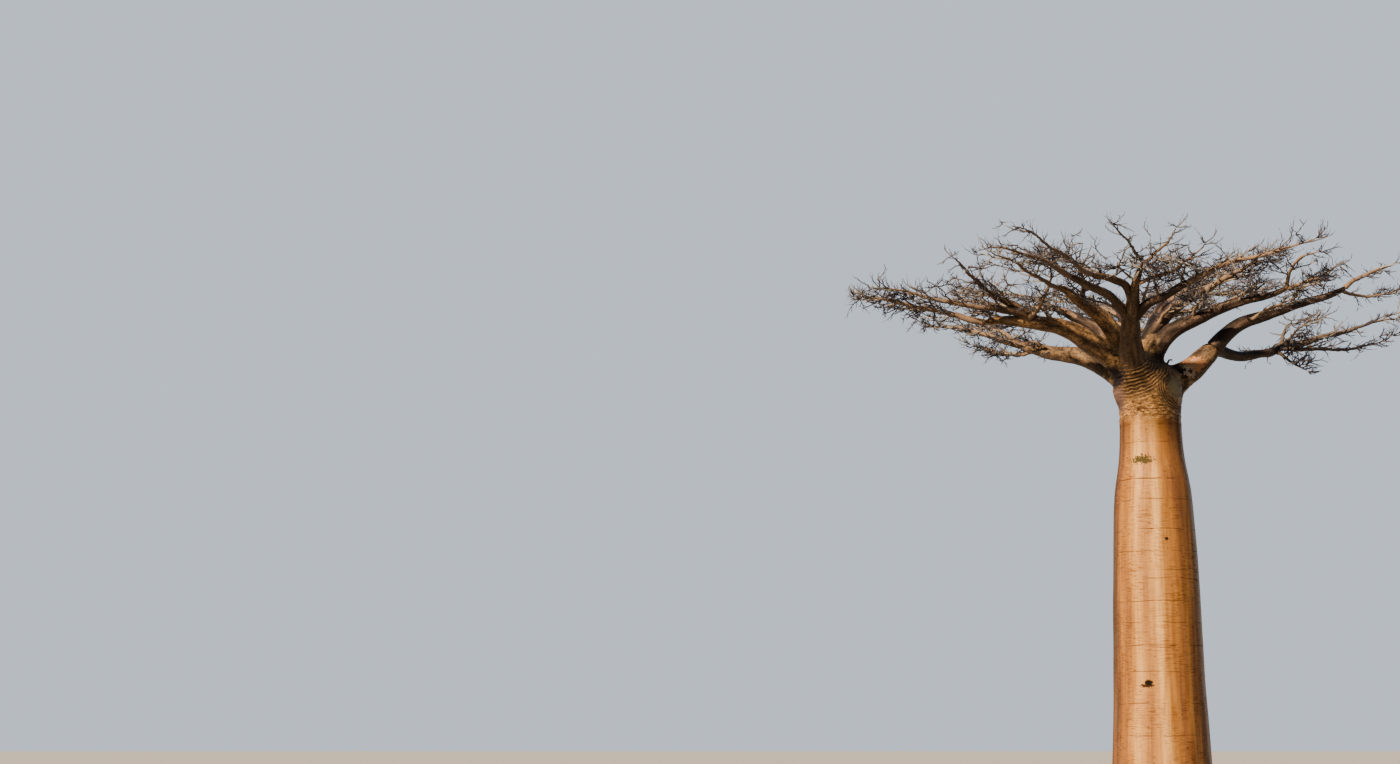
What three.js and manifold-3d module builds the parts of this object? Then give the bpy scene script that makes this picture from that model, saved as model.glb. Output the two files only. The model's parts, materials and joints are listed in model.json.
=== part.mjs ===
// A leafless baobab: a bottle-shaped trunk, the boughs that fan out from its head, and the twigs at their
// ends. Lengths are millimetres and angles are degrees. Seen from the front, +X is to the right, +Y is
// away and +Z is up. The origin is the middle of the trunk's flat cut at the ground.
import * as THREE from "three";
import { mergeVertices } from "three/addons/utils/BufferGeometryUtils.js";
import Module from "manifold-3d";

const wasm = await Module();
wasm.setup();

// Space between pieces that meet, and the least space between pieces that pass each other.
const JOINT_GAP = 0.35;
const PASSING_GAP = 20;

// Trunk: radius at each height, from the root flare up the shaft to the neck, and over the head that
// bears the boughs.
const TRUNK_STATIONS = [
  { height: 0, radius: 1910 },
  { height: 500, radius: 1795 },
  { height: 1500, radius: 1720 },
  { height: 4400, radius: 1595 },
  { height: 6900, radius: 1545 },
  { height: 9400, radius: 1450 },
  { height: 10800, radius: 1365 },
  { height: 12200, radius: 1165 },
  { height: 13700, radius: 1100 },
  { height: 14500, radius: 1200 },
  { height: 15000, radius: 1110 },
  { height: 15400, radius: 800 },
  { height: 15650, radius: 380 },
];
const TRUNK_TOP = 15750;
const TRUNK_LEAN = 50;
const TRUNK_RINGS = 18;
const TRUNK_SIDES = 28;
const FLARE_HEIGHT = 700;
const FLARE_LOBES = { count: 7, share: 0.035, turn: 40 };
const SHAFT_LOBES = { count: 3, share: 0.01, turn: 25 };

// Centre lines: a limb is walked in equal steps, and its course waves a little to both sides.
const STEPS = 14;
const WAVE = 5;
const SIDE_WAVES = 1.5;
const CLIMB_WAVES = 2.2;

// Faces round a tube, and rings along it.
const BOUGH_MESH = { sides: 10, rings: 7 };
const LIMB_MESH = { sides: 8, rings: 7 };
const STEM_MESH = { sides: 4, rings: 7 };
const TWIG_SIDES = 3;
const SPRAY_STEPS = 2;
const SHOOT_STEPS = 1;

// Sprays grow from a mass's stem to its left and right, shorter towards its tip, and shoots rise from each.
const SPRAY = {
  perMetre: 1.25,
  firstShare: 0.14,
  lastShare: 0.96,
  fewest: 3,
  longest: 1900,
  lengthShare: 0.48,
  tipLengthShare: 0.45,
  spread: [30, 62],
  climb: [0, 14],
  rise: [8, 26],
  bend: 12,
  girthShare: 0.5,
  thinnest: 26,
  rootShare: 0.12,
};
const SHOOT = {
  shares: [0.48, 0.86],
  length: [220, 400],
  spread: [15, 60],
  climb: [25, 62],
  radius: 15,
  rootShare: 0.14,
};
const GOLDEN_SHARE = 0.618;
const LENGTHS_TRIED = [1, 0.7, 0.45];
const HEADING_REACH = 0.02;

// Numbers of the seeded stream: where a name starts it, how each letter turns it, and how it steps.
const SEED_START = 2166136261;
const SEED_FACTOR = 16777619;
const STREAM_STEP = 0x6d2b79f5;
const STREAM_RANGE = 2 ** 32;

// A limb leaves its parent at a share of the parent's length, or the trunk from a root point inside the
// head. Its heading turns from +X towards +Y, from the first value to the last. Its climb above level
// goes from the first value towards the middle one and on to the last. Its girth is its radius at the
// root and at the tip.
function limb(name, parent, from, heading, climb, length, girth) {
  return { name, parent, from, heading, climb, length, girth };
}

const HEAD = "trunk";

const BOUGHS = [
  limb("front_bough", HEAD, [-200, -350, 14400], [-127, -75], [57, 33, 31], 5900, [580, 80]),
  limb("left_bough", HEAD, [-350, -150, 15050], [-156, -172], [37, 22, -13], 6400, [540, 130]),
  limb("right_bough", HEAD, [250, 0, 14350], [-4, -17], [36, 32, 46], 2800, [600, 330]),
  limb("low_left_bough", HEAD, [-350, 150, 14750], [148, 133], [44, -2, 27], 6500, [480, 110]),
  limb("left_high_bough", HEAD, [-350, 0, 15100], [-147, -125], [65, 17, -4], 6000, [440, 90]),
  limb("right_mid_bough", HEAD, [0, -50, 15000], [-42, -33], [82, -22, 20], 6400, [400, 90]),
  limb("right_high_bough", HEAD, [-50, 100, 15050], [4, -42], [101, 39, 14], 4300, [360, 160]),
  limb("back_right_bough", HEAD, [60, 250, 15050], [72, 34], [84, 42, 10], 5500, [380, 130]),
  limb("back_bough", HEAD, [0, 400, 14950], [104, 84], [70, 40, 14], 5500, [420, 120]),
  limb("back_left_bough", HEAD, [-300, 300, 14950], [130, 136], [60, 45, 18], 5100, [400, 120]),
];

const LIMBS = [
  limb("left_upper_limb", "left_bough", 0.72, [-151, -158], [38, -8, 1], 2100, [170, 110]),
  limb("left_dark_limb", "left_bough", 0.68, [-171, -139], [41, 18, 11], 2500, [180, 100]),
  limb("front_left_limb", "front_bough", 0.53, [-126, -137], [40, -13, 15], 4100, [190, 120]),
  limb("front_high_left_limb", "front_bough", 0.7, [-124, -141], [47, -22, 5], 2900, [160, 110]),
  limb("front_right_limb", "front_bough", 0.51, [-69, -54], [34, -6, 20], 3300, [190, 130]),
  limb("right_upper_limb", "right_bough", 0.99, [-10, -6], [52, -11, 31], 5300, [290, 100]),
  limb("right_lower_limb", "right_bough", 0.97, [36, 28], [-12, 8, 27], 3800, [220, 150]),
];

const STEMS = [
  limb("left_tip_twigs", "left_bough", 1, [-171, -173], [12, 10, 9], 4800, [130, 20]),
  limb("left_upper_tip_twigs", "left_upper_limb", 0.99, [-161, -164], [-4, 21, 2], 4100, [110, 20]),
  limb("left_dark_tip_twigs", "left_dark_limb", 1, [-134, -133], [27, 20, 29], 2200, [100, 20]),
  limb("left_riser_twigs", "left_bough", 0.76, [-58, -110], [25, 20, 36], 3700, [110, 20]),
  limb("low_left_tip_twigs", "low_left_bough", 1, [151, 152], [31, 11, 0], 2900, [110, 20]),
  limb("low_left_under_twigs", "low_left_bough", 0.72, [121, 137], [-19, 32, 17], 3000, [100, 20]),
  limb("low_left_side_twigs", "low_left_bough", 0.84, [104, 116], [34, 22, 12], 3400, [100, 20]),
  limb("left_high_tip_twigs", "left_high_bough", 1, [-130, -128], [6, 12, 1], 4200, [90, 20]),
  limb("left_high_upright_twigs", "left_high_bough", 0.67, [-89, -123], [17, 15, 19], 3300, [100, 20]),
  limb("front_left_tip_twigs", "front_left_limb", 1, [-135, -144], [17, 4, -5], 4100, [120, 20]),
  limb("front_high_left_tip_twigs", "front_high_left_limb", 1, [-128, -135], [0, 28, 2], 4600, [110, 20]),
  limb("front_top_left_tip_twigs", "front_bough", 1, [-123, -127], [23, 18, 19], 2600, [80, 18]),
  limb("front_top_right_tip_twigs", "front_bough", 1, [-72, -83], [13, 2, 25], 2800, [80, 18]),
  limb("front_right_tip_twigs", "front_right_limb", 1, [-39, -31], [24, -9, 19], 4600, [130, 20]),
  limb("front_right_upper_twigs", "front_bough", 0.83, [-52, -76], [7, -3, 27], 3800, [90, 20]),
  limb("right_mid_tip_twigs", "right_mid_bough", 1, [-36, -41], [8, 17, 22], 2000, [90, 18]),
  limb("right_mid_upright_twigs", "right_mid_bough", 1, [-97, -53], [43, 24, -14], 2600, [85, 18]),
  limb("right_high_tip_twigs", "right_high_bough", 1, [-46, -41], [21, 21, 9], 2400, [150, 20]),
  limb("right_upper_tip_twigs", "right_upper_limb", 0.99, [11, 5], [37, 18, 19], 2400, [100, 20]),
  limb("right_upper_side_twigs", "right_upper_limb", 0.95, [21, 11], [-19, 12, 12], 2500, [80, 18]),
  limb("right_upper_riser_twigs", "right_upper_limb", 0.6, [-59, -10], [84, 8, 9], 1600, [80, 18]),
  limb("right_lower_tip_twigs", "right_lower_limb", 1, [16, 13], [7, 28, 9], 5000, [150, 20]),
  limb("right_lower_side_twigs", "right_lower_limb", 0.93, [-10, -10], [0, -16, 26], 3900, [100, 20]),
  limb("right_lower_back_twigs", "right_lower_limb", 0.97, [68, 60], [36, 32, 18], 3000, [90, 20]),
  limb("right_lower_droop_twigs", "right_lower_limb", 0.88, [-35, -28], [-48, -38, -27], 1500, [80, 18]),
  limb("right_lower_riser_twigs", "right_lower_limb", 1, [34, 32], [42, 33, 36], 2200, [70, 18]),
  limb("back_right_tip_twigs", "back_right_bough", 1, [42, 30], [10, 10, 6], 4400, [130, 20]),
  limb("back_right_side_twigs", "back_right_bough", 0.75, [78, 64], [24, 16, 10], 4000, [110, 20]),
  limb("back_right_upright_twigs", "back_right_bough", 0.66, [16, 2], [44, 26, 16], 3200, [100, 20]),
  limb("back_tip_twigs", "back_bough", 1, [84, 94], [12, 10, 6], 4400, [120, 20]),
  limb("back_side_twigs", "back_bough", 0.72, [124, 112], [28, 18, 10], 3800, [110, 20]),
  limb("back_upright_twigs", "back_bough", 0.6, [52, 62], [36, 26, 14], 3400, [100, 20]),
  limb("back_left_tip_twigs", "back_left_bough", 1, [140, 154], [10, 10, 4], 4400, [120, 20]),
  limb("back_left_side_twigs", "back_left_bough", 0.7, [172, 166], [34, 20, 10], 3600, [100, 20]),
];

// Bark and twig finishes.
const TRUNK_BARK = new THREE.MeshStandardMaterial({ color: "#b98559", roughness: 0.72, metalness: 0 });
const BOUGH_BARK = new THREE.MeshStandardMaterial({ color: "#a5683c", roughness: 0.8, metalness: 0 });
const LIMB_BARK = new THREE.MeshStandardMaterial({ color: "#966442", roughness: 0.82, metalness: 0 });
const TWIG_BARK = new THREE.MeshStandardMaterial({ color: "#7d6a60", roughness: 0.88, metalness: 0 });

// A repeatable stream of numbers from 0 to 1 that a name seeds.
function randomFrom(name) {
  let state = SEED_START;
  for (const letter of name) {
    state = Math.imul(state ^ letter.charCodeAt(0), SEED_FACTOR) >>> 0;
  }
  return () => {
    state = (state + STREAM_STEP) >>> 0;
    let mixed = Math.imul(state ^ (state >>> 15), state | 1);
    mixed ^= mixed + Math.imul(mixed ^ (mixed >>> 7), mixed | 61);
    return ((mixed ^ (mixed >>> 14)) >>> 0) / STREAM_RANGE;
  };
}

function between([low, high], share) {
  return low + (high - low) * share;
}

// The unit step of a course with a heading and a climb.
function stepTowards(heading, climb) {
  const across = THREE.MathUtils.degToRad(heading);
  const up = THREE.MathUtils.degToRad(climb);
  return new THREE.Vector3(Math.cos(up) * Math.cos(across), Math.cos(up) * Math.sin(across), Math.sin(up));
}

// A centre line of equal steps from a start point, whose course at each share of the way is given by a
// function.
function walk(start, length, steps, courseAt) {
  const line = [start.clone()];
  for (let i = 0; i < steps; i++) {
    const { heading, climb } = courseAt((i + 0.5) / steps);
    line.push(line[i].clone().addScaledVector(stepTowards(heading, climb), length / steps));
  }
  return line;
}

function courseOf(limbSizes) {
  const random = randomFrom(limbSizes.name);
  const sidePhase = random();
  const climbPhase = random();
  const [first, middle, last] = limbSizes.climb;
  return (share) => {
    const rest = 1 - share;
    const sideWave = WAVE * Math.sin(2 * Math.PI * (SIDE_WAVES * share + sidePhase));
    const climbWave = WAVE * Math.sin(2 * Math.PI * (CLIMB_WAVES * share + climbPhase));
    return {
      heading: between(limbSizes.heading, share) + sideWave,
      climb: first * rest * rest + 2 * middle * share * rest + last * share * share + climbWave,
    };
  };
}

function pointAt(line, share) {
  const place = Math.min(share, 1) * (line.length - 1);
  const step = Math.min(Math.floor(place), line.length - 2);
  return line[step].clone().lerp(line[step + 1], place - step);
}

// A straight unit-high geometry along +Y is carried onto a centre line: its height becomes the way along
// the line, and its section is set square to the line.
function bendAlong(geometry, line) {
  const curve = line.map((point) => point.clone());
  const ahead = curve.map((point, i) => {
    const from = curve[Math.max(i - 1, 0)];
    const to = curve[Math.min(i + 1, curve.length - 1)];
    return to.clone().sub(from).normalize();
  });
  const side = [];
  let across = new THREE.Vector3(0, 0, 1).cross(ahead[0]).normalize();
  for (const direction of ahead) {
    across = across.clone().addScaledVector(direction, -across.dot(direction)).normalize();
    side.push(across);
  }
  const places = geometry.getAttribute("position");
  for (let i = 0; i < places.count; i++) {
    const along = THREE.MathUtils.clamp(places.getY(i) + 0.5, 0, 1);
    const step = Math.min(Math.floor(along * (curve.length - 1)), curve.length - 2);
    const share = along * (curve.length - 1) - step;
    const direction = ahead[step].clone().lerp(ahead[step + 1], share).normalize();
    const right = side[step].clone().lerp(side[step + 1], share).normalize();
    const out = right.clone().cross(direction);
    const point = curve[step].clone().lerp(curve[step + 1], share);
    point.addScaledVector(right, places.getX(i)).addScaledVector(out, places.getZ(i));
    places.setXYZ(i, point.x, point.y, point.z);
  }
  return geometry;
}

// One geometry with shared vertices and no collapsed faces.
function closedGeometry(geometry) {
  geometry.deleteAttribute("normal");
  geometry.deleteAttribute("uv");
  const merged = mergeVertices(geometry);
  const index = merged.index.array;
  const faces = [];
  for (let i = 0; i < index.length; i += 3) {
    const [a, b, c] = [index[i], index[i + 1], index[i + 2]];
    if (a !== b && b !== c && c !== a) {
      faces.push(a, b, c);
    }
  }
  return merged.setIndex(faces);
}

function solidOf(geometry) {
  return new wasm.Manifold(
    new wasm.Mesh({
      numProp: 3,
      vertProperties: new Float32Array(geometry.getAttribute("position").array),
      triVerts: new Uint32Array(geometry.index.array),
    }),
  );
}

function geometryOf(solid) {
  const mesh = solid.getMesh();
  return new THREE.BufferGeometry()
    .setAttribute("position", new THREE.BufferAttribute(mesh.vertProperties, 3))
    .setIndex(new THREE.BufferAttribute(mesh.triVerts, 1));
}

// The largest body of a solid, so that loose scraps go and sealed hollows are filled.
function largestBody(solid) {
  return solid.decompose().reduce((best, body) => (body.volume() > best.volume() ? body : best));
}

// A tapering tube with closed ends on a centre line, made larger all round by grow.
function tube(line, [rootRadius, tipRadius], { sides, rings }, grow = 0) {
  const last = line.length - 1;
  const root = line[0].clone().sub(line[1]).setLength(grow).add(line[0]);
  const tip = line[last].clone().sub(line[last - 1]).setLength(grow).add(line[last]);
  const straight = new THREE.CylinderGeometry(tipRadius + grow, rootRadius + grow, 1, sides, rings);
  return solidOf(bendAlong(closedGeometry(straight), [root, ...line.slice(1, last), tip]));
}

// A twig that starts from a point sunk in its parent, is thickest just outside it and tapers to a point.
function twig(line, radius, rootShare) {
  const steps = line.length - 1;
  const profile = [new THREE.Vector2(0, -0.5), new THREE.Vector2(radius, rootShare - 0.5)];
  for (let i = 1; i <= steps; i++) {
    profile.push(new THREE.Vector2(radius * (1 - i / steps), i / steps - 0.5));
  }
  const straight = new THREE.LatheGeometry(profile, TWIG_SIDES);
  return solidOf(bendAlong(closedGeometry(straight), line));
}

// The trunk is turned from its profile, then swelled into lobes that are deepest at the root flare.
function trunkSolid(grow = 0) {
  const stations = TRUNK_STATIONS.map(({ height, radius }) => new THREE.Vector2(radius, height));
  const skin = new THREE.SplineCurve(stations).getSpacedPoints(TRUNK_RINGS);
  const raise = 1 + grow / TRUNK_TOP;
  const profile = [
    new THREE.Vector2(0, 0),
    ...skin.map((point) => new THREE.Vector2(point.x + grow, point.y * raise)),
    new THREE.Vector2(0, TRUNK_TOP * raise),
  ];
  const turned = closedGeometry(new THREE.LatheGeometry(profile, TRUNK_SIDES));
  turned.rotateX(Math.PI / 2);
  const places = turned.getAttribute("position");
  for (let i = 0; i < places.count; i++) {
    const [x, y, z] = [places.getX(i), places.getY(i), places.getZ(i)];
    const angle = Math.atan2(y, x);
    const swell = 1 + trunkLobes(angle, z);
    places.setXYZ(i, x * swell + (TRUNK_LEAN * z) / TRUNK_TOP, y * swell, z);
  }
  return solidOf(turned);
}

function trunkLobes(angle, height) {
  const flare = FLARE_LOBES.share * Math.exp(-height / FLARE_HEIGHT);
  const flareTurn = THREE.MathUtils.degToRad(FLARE_LOBES.turn);
  const shaftTurn = THREE.MathUtils.degToRad(SHAFT_LOBES.turn);
  return (
    flare * Math.sin(FLARE_LOBES.count * (angle + flareTurn)) +
    SHAFT_LOBES.share * Math.sin(SHAFT_LOBES.count * (angle + shaftTurn))
  );
}

// Distance from a point to a limb's skin, which is negative inside it.
function distanceToSkin(point, { line, girth }) {
  let least = Infinity;
  for (let i = 0; i + 1 < line.length; i++) {
    const piece = new THREE.Line3(line[i], line[i + 1]);
    const share = piece.closestPointToPointParameter(point, true);
    const radius = between(girth, (i + share) / (line.length - 1));
    least = Math.min(least, point.distanceTo(piece.at(share, new THREE.Vector3())) - radius);
  }
  return least;
}

// Centre lines of every limb and stem, each starting on its parent's line or at its root in the head.
const lines = new Map();
for (const sizes of [...BOUGHS, ...LIMBS, ...STEMS]) {
  const start = Array.isArray(sizes.from)
    ? new THREE.Vector3(...sizes.from)
    : pointAt(lines.get(sizes.parent).line, sizes.from);
  const line = walk(start, sizes.length, STEPS, courseOf(sizes));
  lines.set(sizes.name, { line, girth: sizes.girth });
}

function skinOf(name) {
  return lines.get(name);
}

// A twig stays in its mass's space: nearer to its own stem than to any other, and clear of every limb.
function hasRoom(line, radius, ownStem) {
  const otherStems = STEMS.filter(({ name }) => name !== ownStem);
  const points = line.flatMap((point, i) => (i ? [line[i - 1].clone().lerp(point, 0.5), point] : []));
  return points.every((point) => {
    const gapTo = ({ name }) => distanceToSkin(point, skinOf(name));
    const ownGap = Math.max(gapTo({ name: ownStem }), 0);
    return (
      otherStems.every((other) => gapTo(other) > ownGap + 2 * radius + PASSING_GAP) &&
      [...BOUGHS, ...LIMBS].every((other) => gapTo(other) > radius + PASSING_GAP)
    );
  });
}

// The longest of the lengths tried at which a twig has room, or nothing.
function roomyTwig({ start, length, steps, radius, courseAt }, ownStem) {
  for (const share of LENGTHS_TRIED) {
    const line = walk(start, length * share, steps, courseAt);
    if (hasRoom(line, radius, ownStem)) {
      return line;
    }
  }
  return null;
}

// The heading of a line at a share of its way.
function headingAt(line, share) {
  const towards = pointAt(line, share + HEADING_REACH).sub(pointAt(line, share - HEADING_REACH));
  return THREE.MathUtils.radToDeg(Math.atan2(towards.y, towards.x));
}

// One spray of a mass, which leaves the stem at a golden share of its way. It takes the other side of the
// stem where the first has no room, and is nothing where neither has.
function sprayOf(stem, number) {
  const { line, girth } = skinOf(stem.name);
  const random = randomFrom(`${stem.name} spray ${number}`);
  const share = between([SPRAY.firstShare, SPRAY.lastShare], ((number + 1) * GOLDEN_SHARE) % 1);
  const spread = between(SPRAY.spread, random());
  const climb = between(SPRAY.climb, random());
  const rise = between(SPRAY.rise, random());
  const fullLength = Math.min(SPRAY.longest, SPRAY.lengthShare * stem.length);
  const firstSide = number % 2 ? 1 : -1;
  for (const side of [firstSide, -firstSide]) {
    const heading = headingAt(line, share) + side * spread;
    const spray = {
      start: pointAt(line, share),
      length: fullLength * between([1, SPRAY.tipLengthShare], share),
      steps: SPRAY_STEPS,
      radius: Math.max(SPRAY.thinnest, SPRAY.girthShare * between(girth, share)),
      courseAt: (way) => ({ heading: heading - side * SPRAY.bend * way, climb: climb + rise * way }),
    };
    const roomyLine = roomyTwig(spray, stem.name);
    if (roomyLine) {
      return { line: roomyLine, radius: spray.radius, heading, random };
    }
  }
  return null;
}

function spraysOf(stem) {
  const count = Math.max(SPRAY.fewest, Math.round((SPRAY.perMetre * stem.length) / 1000));
  return Array.from({ length: count }, (_, number) => sprayOf(stem, number)).filter(Boolean);
}

// The shoots of a spray rise from it to its left and right in turn.
function shootsOf(spray, stem) {
  return SHOOT.shares
    .map((share, i) => {
      const side = i % 2 ? 1 : -1;
      const heading = spray.heading + side * between(SHOOT.spread, spray.random());
      const climb = between(SHOOT.climb, spray.random());
      const shoot = {
        start: pointAt(spray.line, share),
        length: between(SHOOT.length, spray.random()),
        steps: SHOOT_STEPS,
        radius: SHOOT.radius,
        courseAt: () => ({ heading, climb }),
      };
      return roomyTwig(shoot, stem.name);
    })
    .filter(Boolean);
}

function twigMass(stem, stemSolid) {
  let solid = stemSolid;
  for (const spray of spraysOf(stem)) {
    solid = solid.add(twig(spray.line, spray.radius, SPRAY.rootShare));
    for (const shoot of shootsOf(spray, stem)) {
      solid = solid.add(twig(shoot, SHOOT.radius, SHOOT.rootShare));
    }
  }
  return largestBody(solid);
}

function namedMesh(name, solid, material) {
  const mesh = new THREE.Mesh(geometryOf(solid), material);
  mesh.name = name;
  return mesh;
}

// Each limb is cut clear of the trunk and of every limb and stem before it.
const cutters = [trunkSolid(JOINT_GAP)];

function fittedTube({ name, girth }, shape) {
  const { line } = skinOf(name);
  const cut = cutters.reduce((solid, cutter) => solid.subtract(cutter), tube(line, girth, shape));
  cutters.push(tube(line, girth, shape, JOINT_GAP));
  return largestBody(cut);
}

const tree = new THREE.Group();
tree.add(namedMesh("trunk", trunkSolid(), TRUNK_BARK));
for (const bough of BOUGHS) {
  tree.add(namedMesh(bough.name, fittedTube(bough, BOUGH_MESH), BOUGH_BARK));
}
for (const branch of LIMBS) {
  tree.add(namedMesh(branch.name, fittedTube(branch, LIMB_MESH), LIMB_BARK));
}
const stemSolids = STEMS.map((stem) => fittedTube(stem, STEM_MESH));
STEMS.forEach((stem, i) => {
  tree.add(namedMesh(stem.name, twigMass(stem, stemSolids[i]), TWIG_BARK));
});

export default tree;
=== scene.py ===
import json
import math
from collections import namedtuple
from contextlib import contextmanager

import bmesh
import bpy
import numpy as np
from mathutils import Matrix, Vector, noise

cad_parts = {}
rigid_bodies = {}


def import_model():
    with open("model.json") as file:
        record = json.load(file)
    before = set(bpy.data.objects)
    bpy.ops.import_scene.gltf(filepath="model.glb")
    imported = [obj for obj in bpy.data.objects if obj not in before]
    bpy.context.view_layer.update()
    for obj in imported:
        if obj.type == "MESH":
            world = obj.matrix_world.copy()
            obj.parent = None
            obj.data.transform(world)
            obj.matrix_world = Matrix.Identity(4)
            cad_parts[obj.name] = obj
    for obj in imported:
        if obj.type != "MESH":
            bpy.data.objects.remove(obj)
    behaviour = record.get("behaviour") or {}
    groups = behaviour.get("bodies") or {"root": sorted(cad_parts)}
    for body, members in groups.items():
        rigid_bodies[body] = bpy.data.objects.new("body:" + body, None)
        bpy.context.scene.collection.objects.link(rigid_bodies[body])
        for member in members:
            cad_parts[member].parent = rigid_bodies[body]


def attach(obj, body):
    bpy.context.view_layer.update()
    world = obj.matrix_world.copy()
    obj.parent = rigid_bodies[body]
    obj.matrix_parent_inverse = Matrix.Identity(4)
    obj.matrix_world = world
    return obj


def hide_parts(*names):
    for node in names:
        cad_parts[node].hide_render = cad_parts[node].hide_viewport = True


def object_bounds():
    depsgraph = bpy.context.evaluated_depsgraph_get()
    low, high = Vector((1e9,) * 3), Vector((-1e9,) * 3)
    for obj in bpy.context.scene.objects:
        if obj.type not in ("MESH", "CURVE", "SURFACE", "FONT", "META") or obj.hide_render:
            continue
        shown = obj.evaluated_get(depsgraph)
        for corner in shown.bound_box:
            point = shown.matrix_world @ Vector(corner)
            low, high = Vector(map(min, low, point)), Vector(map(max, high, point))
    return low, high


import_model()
solid_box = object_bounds()

MM = 0.001

# The camera: where it stands, its tilt in degrees, its lens and film width, and the photo's size.
EYE = (-16.23, -75.0, 1.7)
TILT = 9.94
LENS = 54
FILM = 36
PHOTO_SIZE = (1400, 764)

# Trunk: height and radius of the stations of its profile, in millimetres.
TRUNK_STATIONS = (
    (0, 1910), (500, 1795), (1500, 1720), (4400, 1595), (6900, 1545), (9400, 1450), (10800, 1365),
    (12200, 1165), (13700, 1100), (14500, 1200), (15000, 1110), (15400, 800), (15650, 380),
)
TRUNK_TOP = 15.75
TRUNK_LEAN = 0.05
# The height in which the root flare's lobes fade, and the lobes round it and round the shaft: how many, how
# deep as a share of the radius, and their turn.
FLARE_HEIGHT = 0.7
FLARE_LOBES = (7, 0.035, 40)
SHAFT_LOBES = (3, 0.01, 25)

# Centre lines: a limb is walked in equal steps, and its course waves a little to both sides.
STEPS = 14
WAVE = 5
SIDE_WAVES = 1.5
CLIMB_WAVES = 2.2
GOLDEN_SHARE = 0.618

# A limb's fullness multiplies its count of sprays or side stems, to be as open or as full as in the photo.
Limb = namedtuple("Limb", "name parent start heading climb length girth fullness", defaults=(1,))

BOUGHS = (
    Limb("front_bough", None, (-200, -350, 14400), (-127, -75), (57, 33, 31), 5900, (580, 80)),
    Limb("left_bough", None, (-350, -150, 15050), (-156, -172), (37, 22, -13), 6400, (540, 130), 0.6),
    Limb("right_bough", None, (250, 0, 14350), (-4, -17), (36, 32, 46), 2800, (600, 330)),
    Limb("low_left_bough", None, (-350, 150, 14750), (148, 133), (44, -2, 27), 6500, (480, 110)),
    Limb("left_high_bough", None, (-350, 0, 15100), (-147, -125), (65, 17, -4), 6000, (440, 90), 0.35),
    Limb("right_mid_bough", None, (0, -50, 15000), (-42, -33), (82, -22, 20), 6400, (400, 90), 0.7),
    Limb("right_high_bough", None, (-50, 100, 15050), (4, -42), (101, 39, 14), 4300, (360, 160)),
    Limb("back_right_bough", None, (60, 250, 15050), (72, 34), (84, 42, 10), 5500, (380, 130)),
    Limb("back_bough", None, (0, 400, 14950), (104, 84), (70, 40, 14), 5500, (420, 120)),
    Limb("back_left_bough", None, (-300, 300, 14950), (130, 136), (60, 45, 18), 5100, (400, 120), 0.6),
)

LIMBS = (
    Limb("left_upper_limb", "left_bough", 0.72, (-151, -158), (38, -8, 1), 2100, (170, 110), 0.6),
    Limb("left_dark_limb", "left_bough", 0.68, (-171, -139), (41, 18, 11), 2500, (180, 100), 0.6),
    Limb("front_left_limb", "front_bough", 0.53, (-126, -137), (40, -13, 15), 4100, (190, 120), 0.45),
    Limb("front_high_left_limb", "front_bough", 0.7, (-124, -141), (47, -22, 5), 2900, (160, 110), 0.8),
    Limb("front_right_limb", "front_bough", 0.51, (-69, -54), (34, -6, 20), 3300, (190, 130)),
    Limb("right_upper_limb", "right_bough", 0.99, (-10, -6), (52, -11, 31), 5300, (290, 100), 0.25),
    Limb("right_lower_limb", "right_bough", 0.97, (36, 28), (-12, 8, 27), 3800, (220, 150), 0.65),
)

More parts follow.
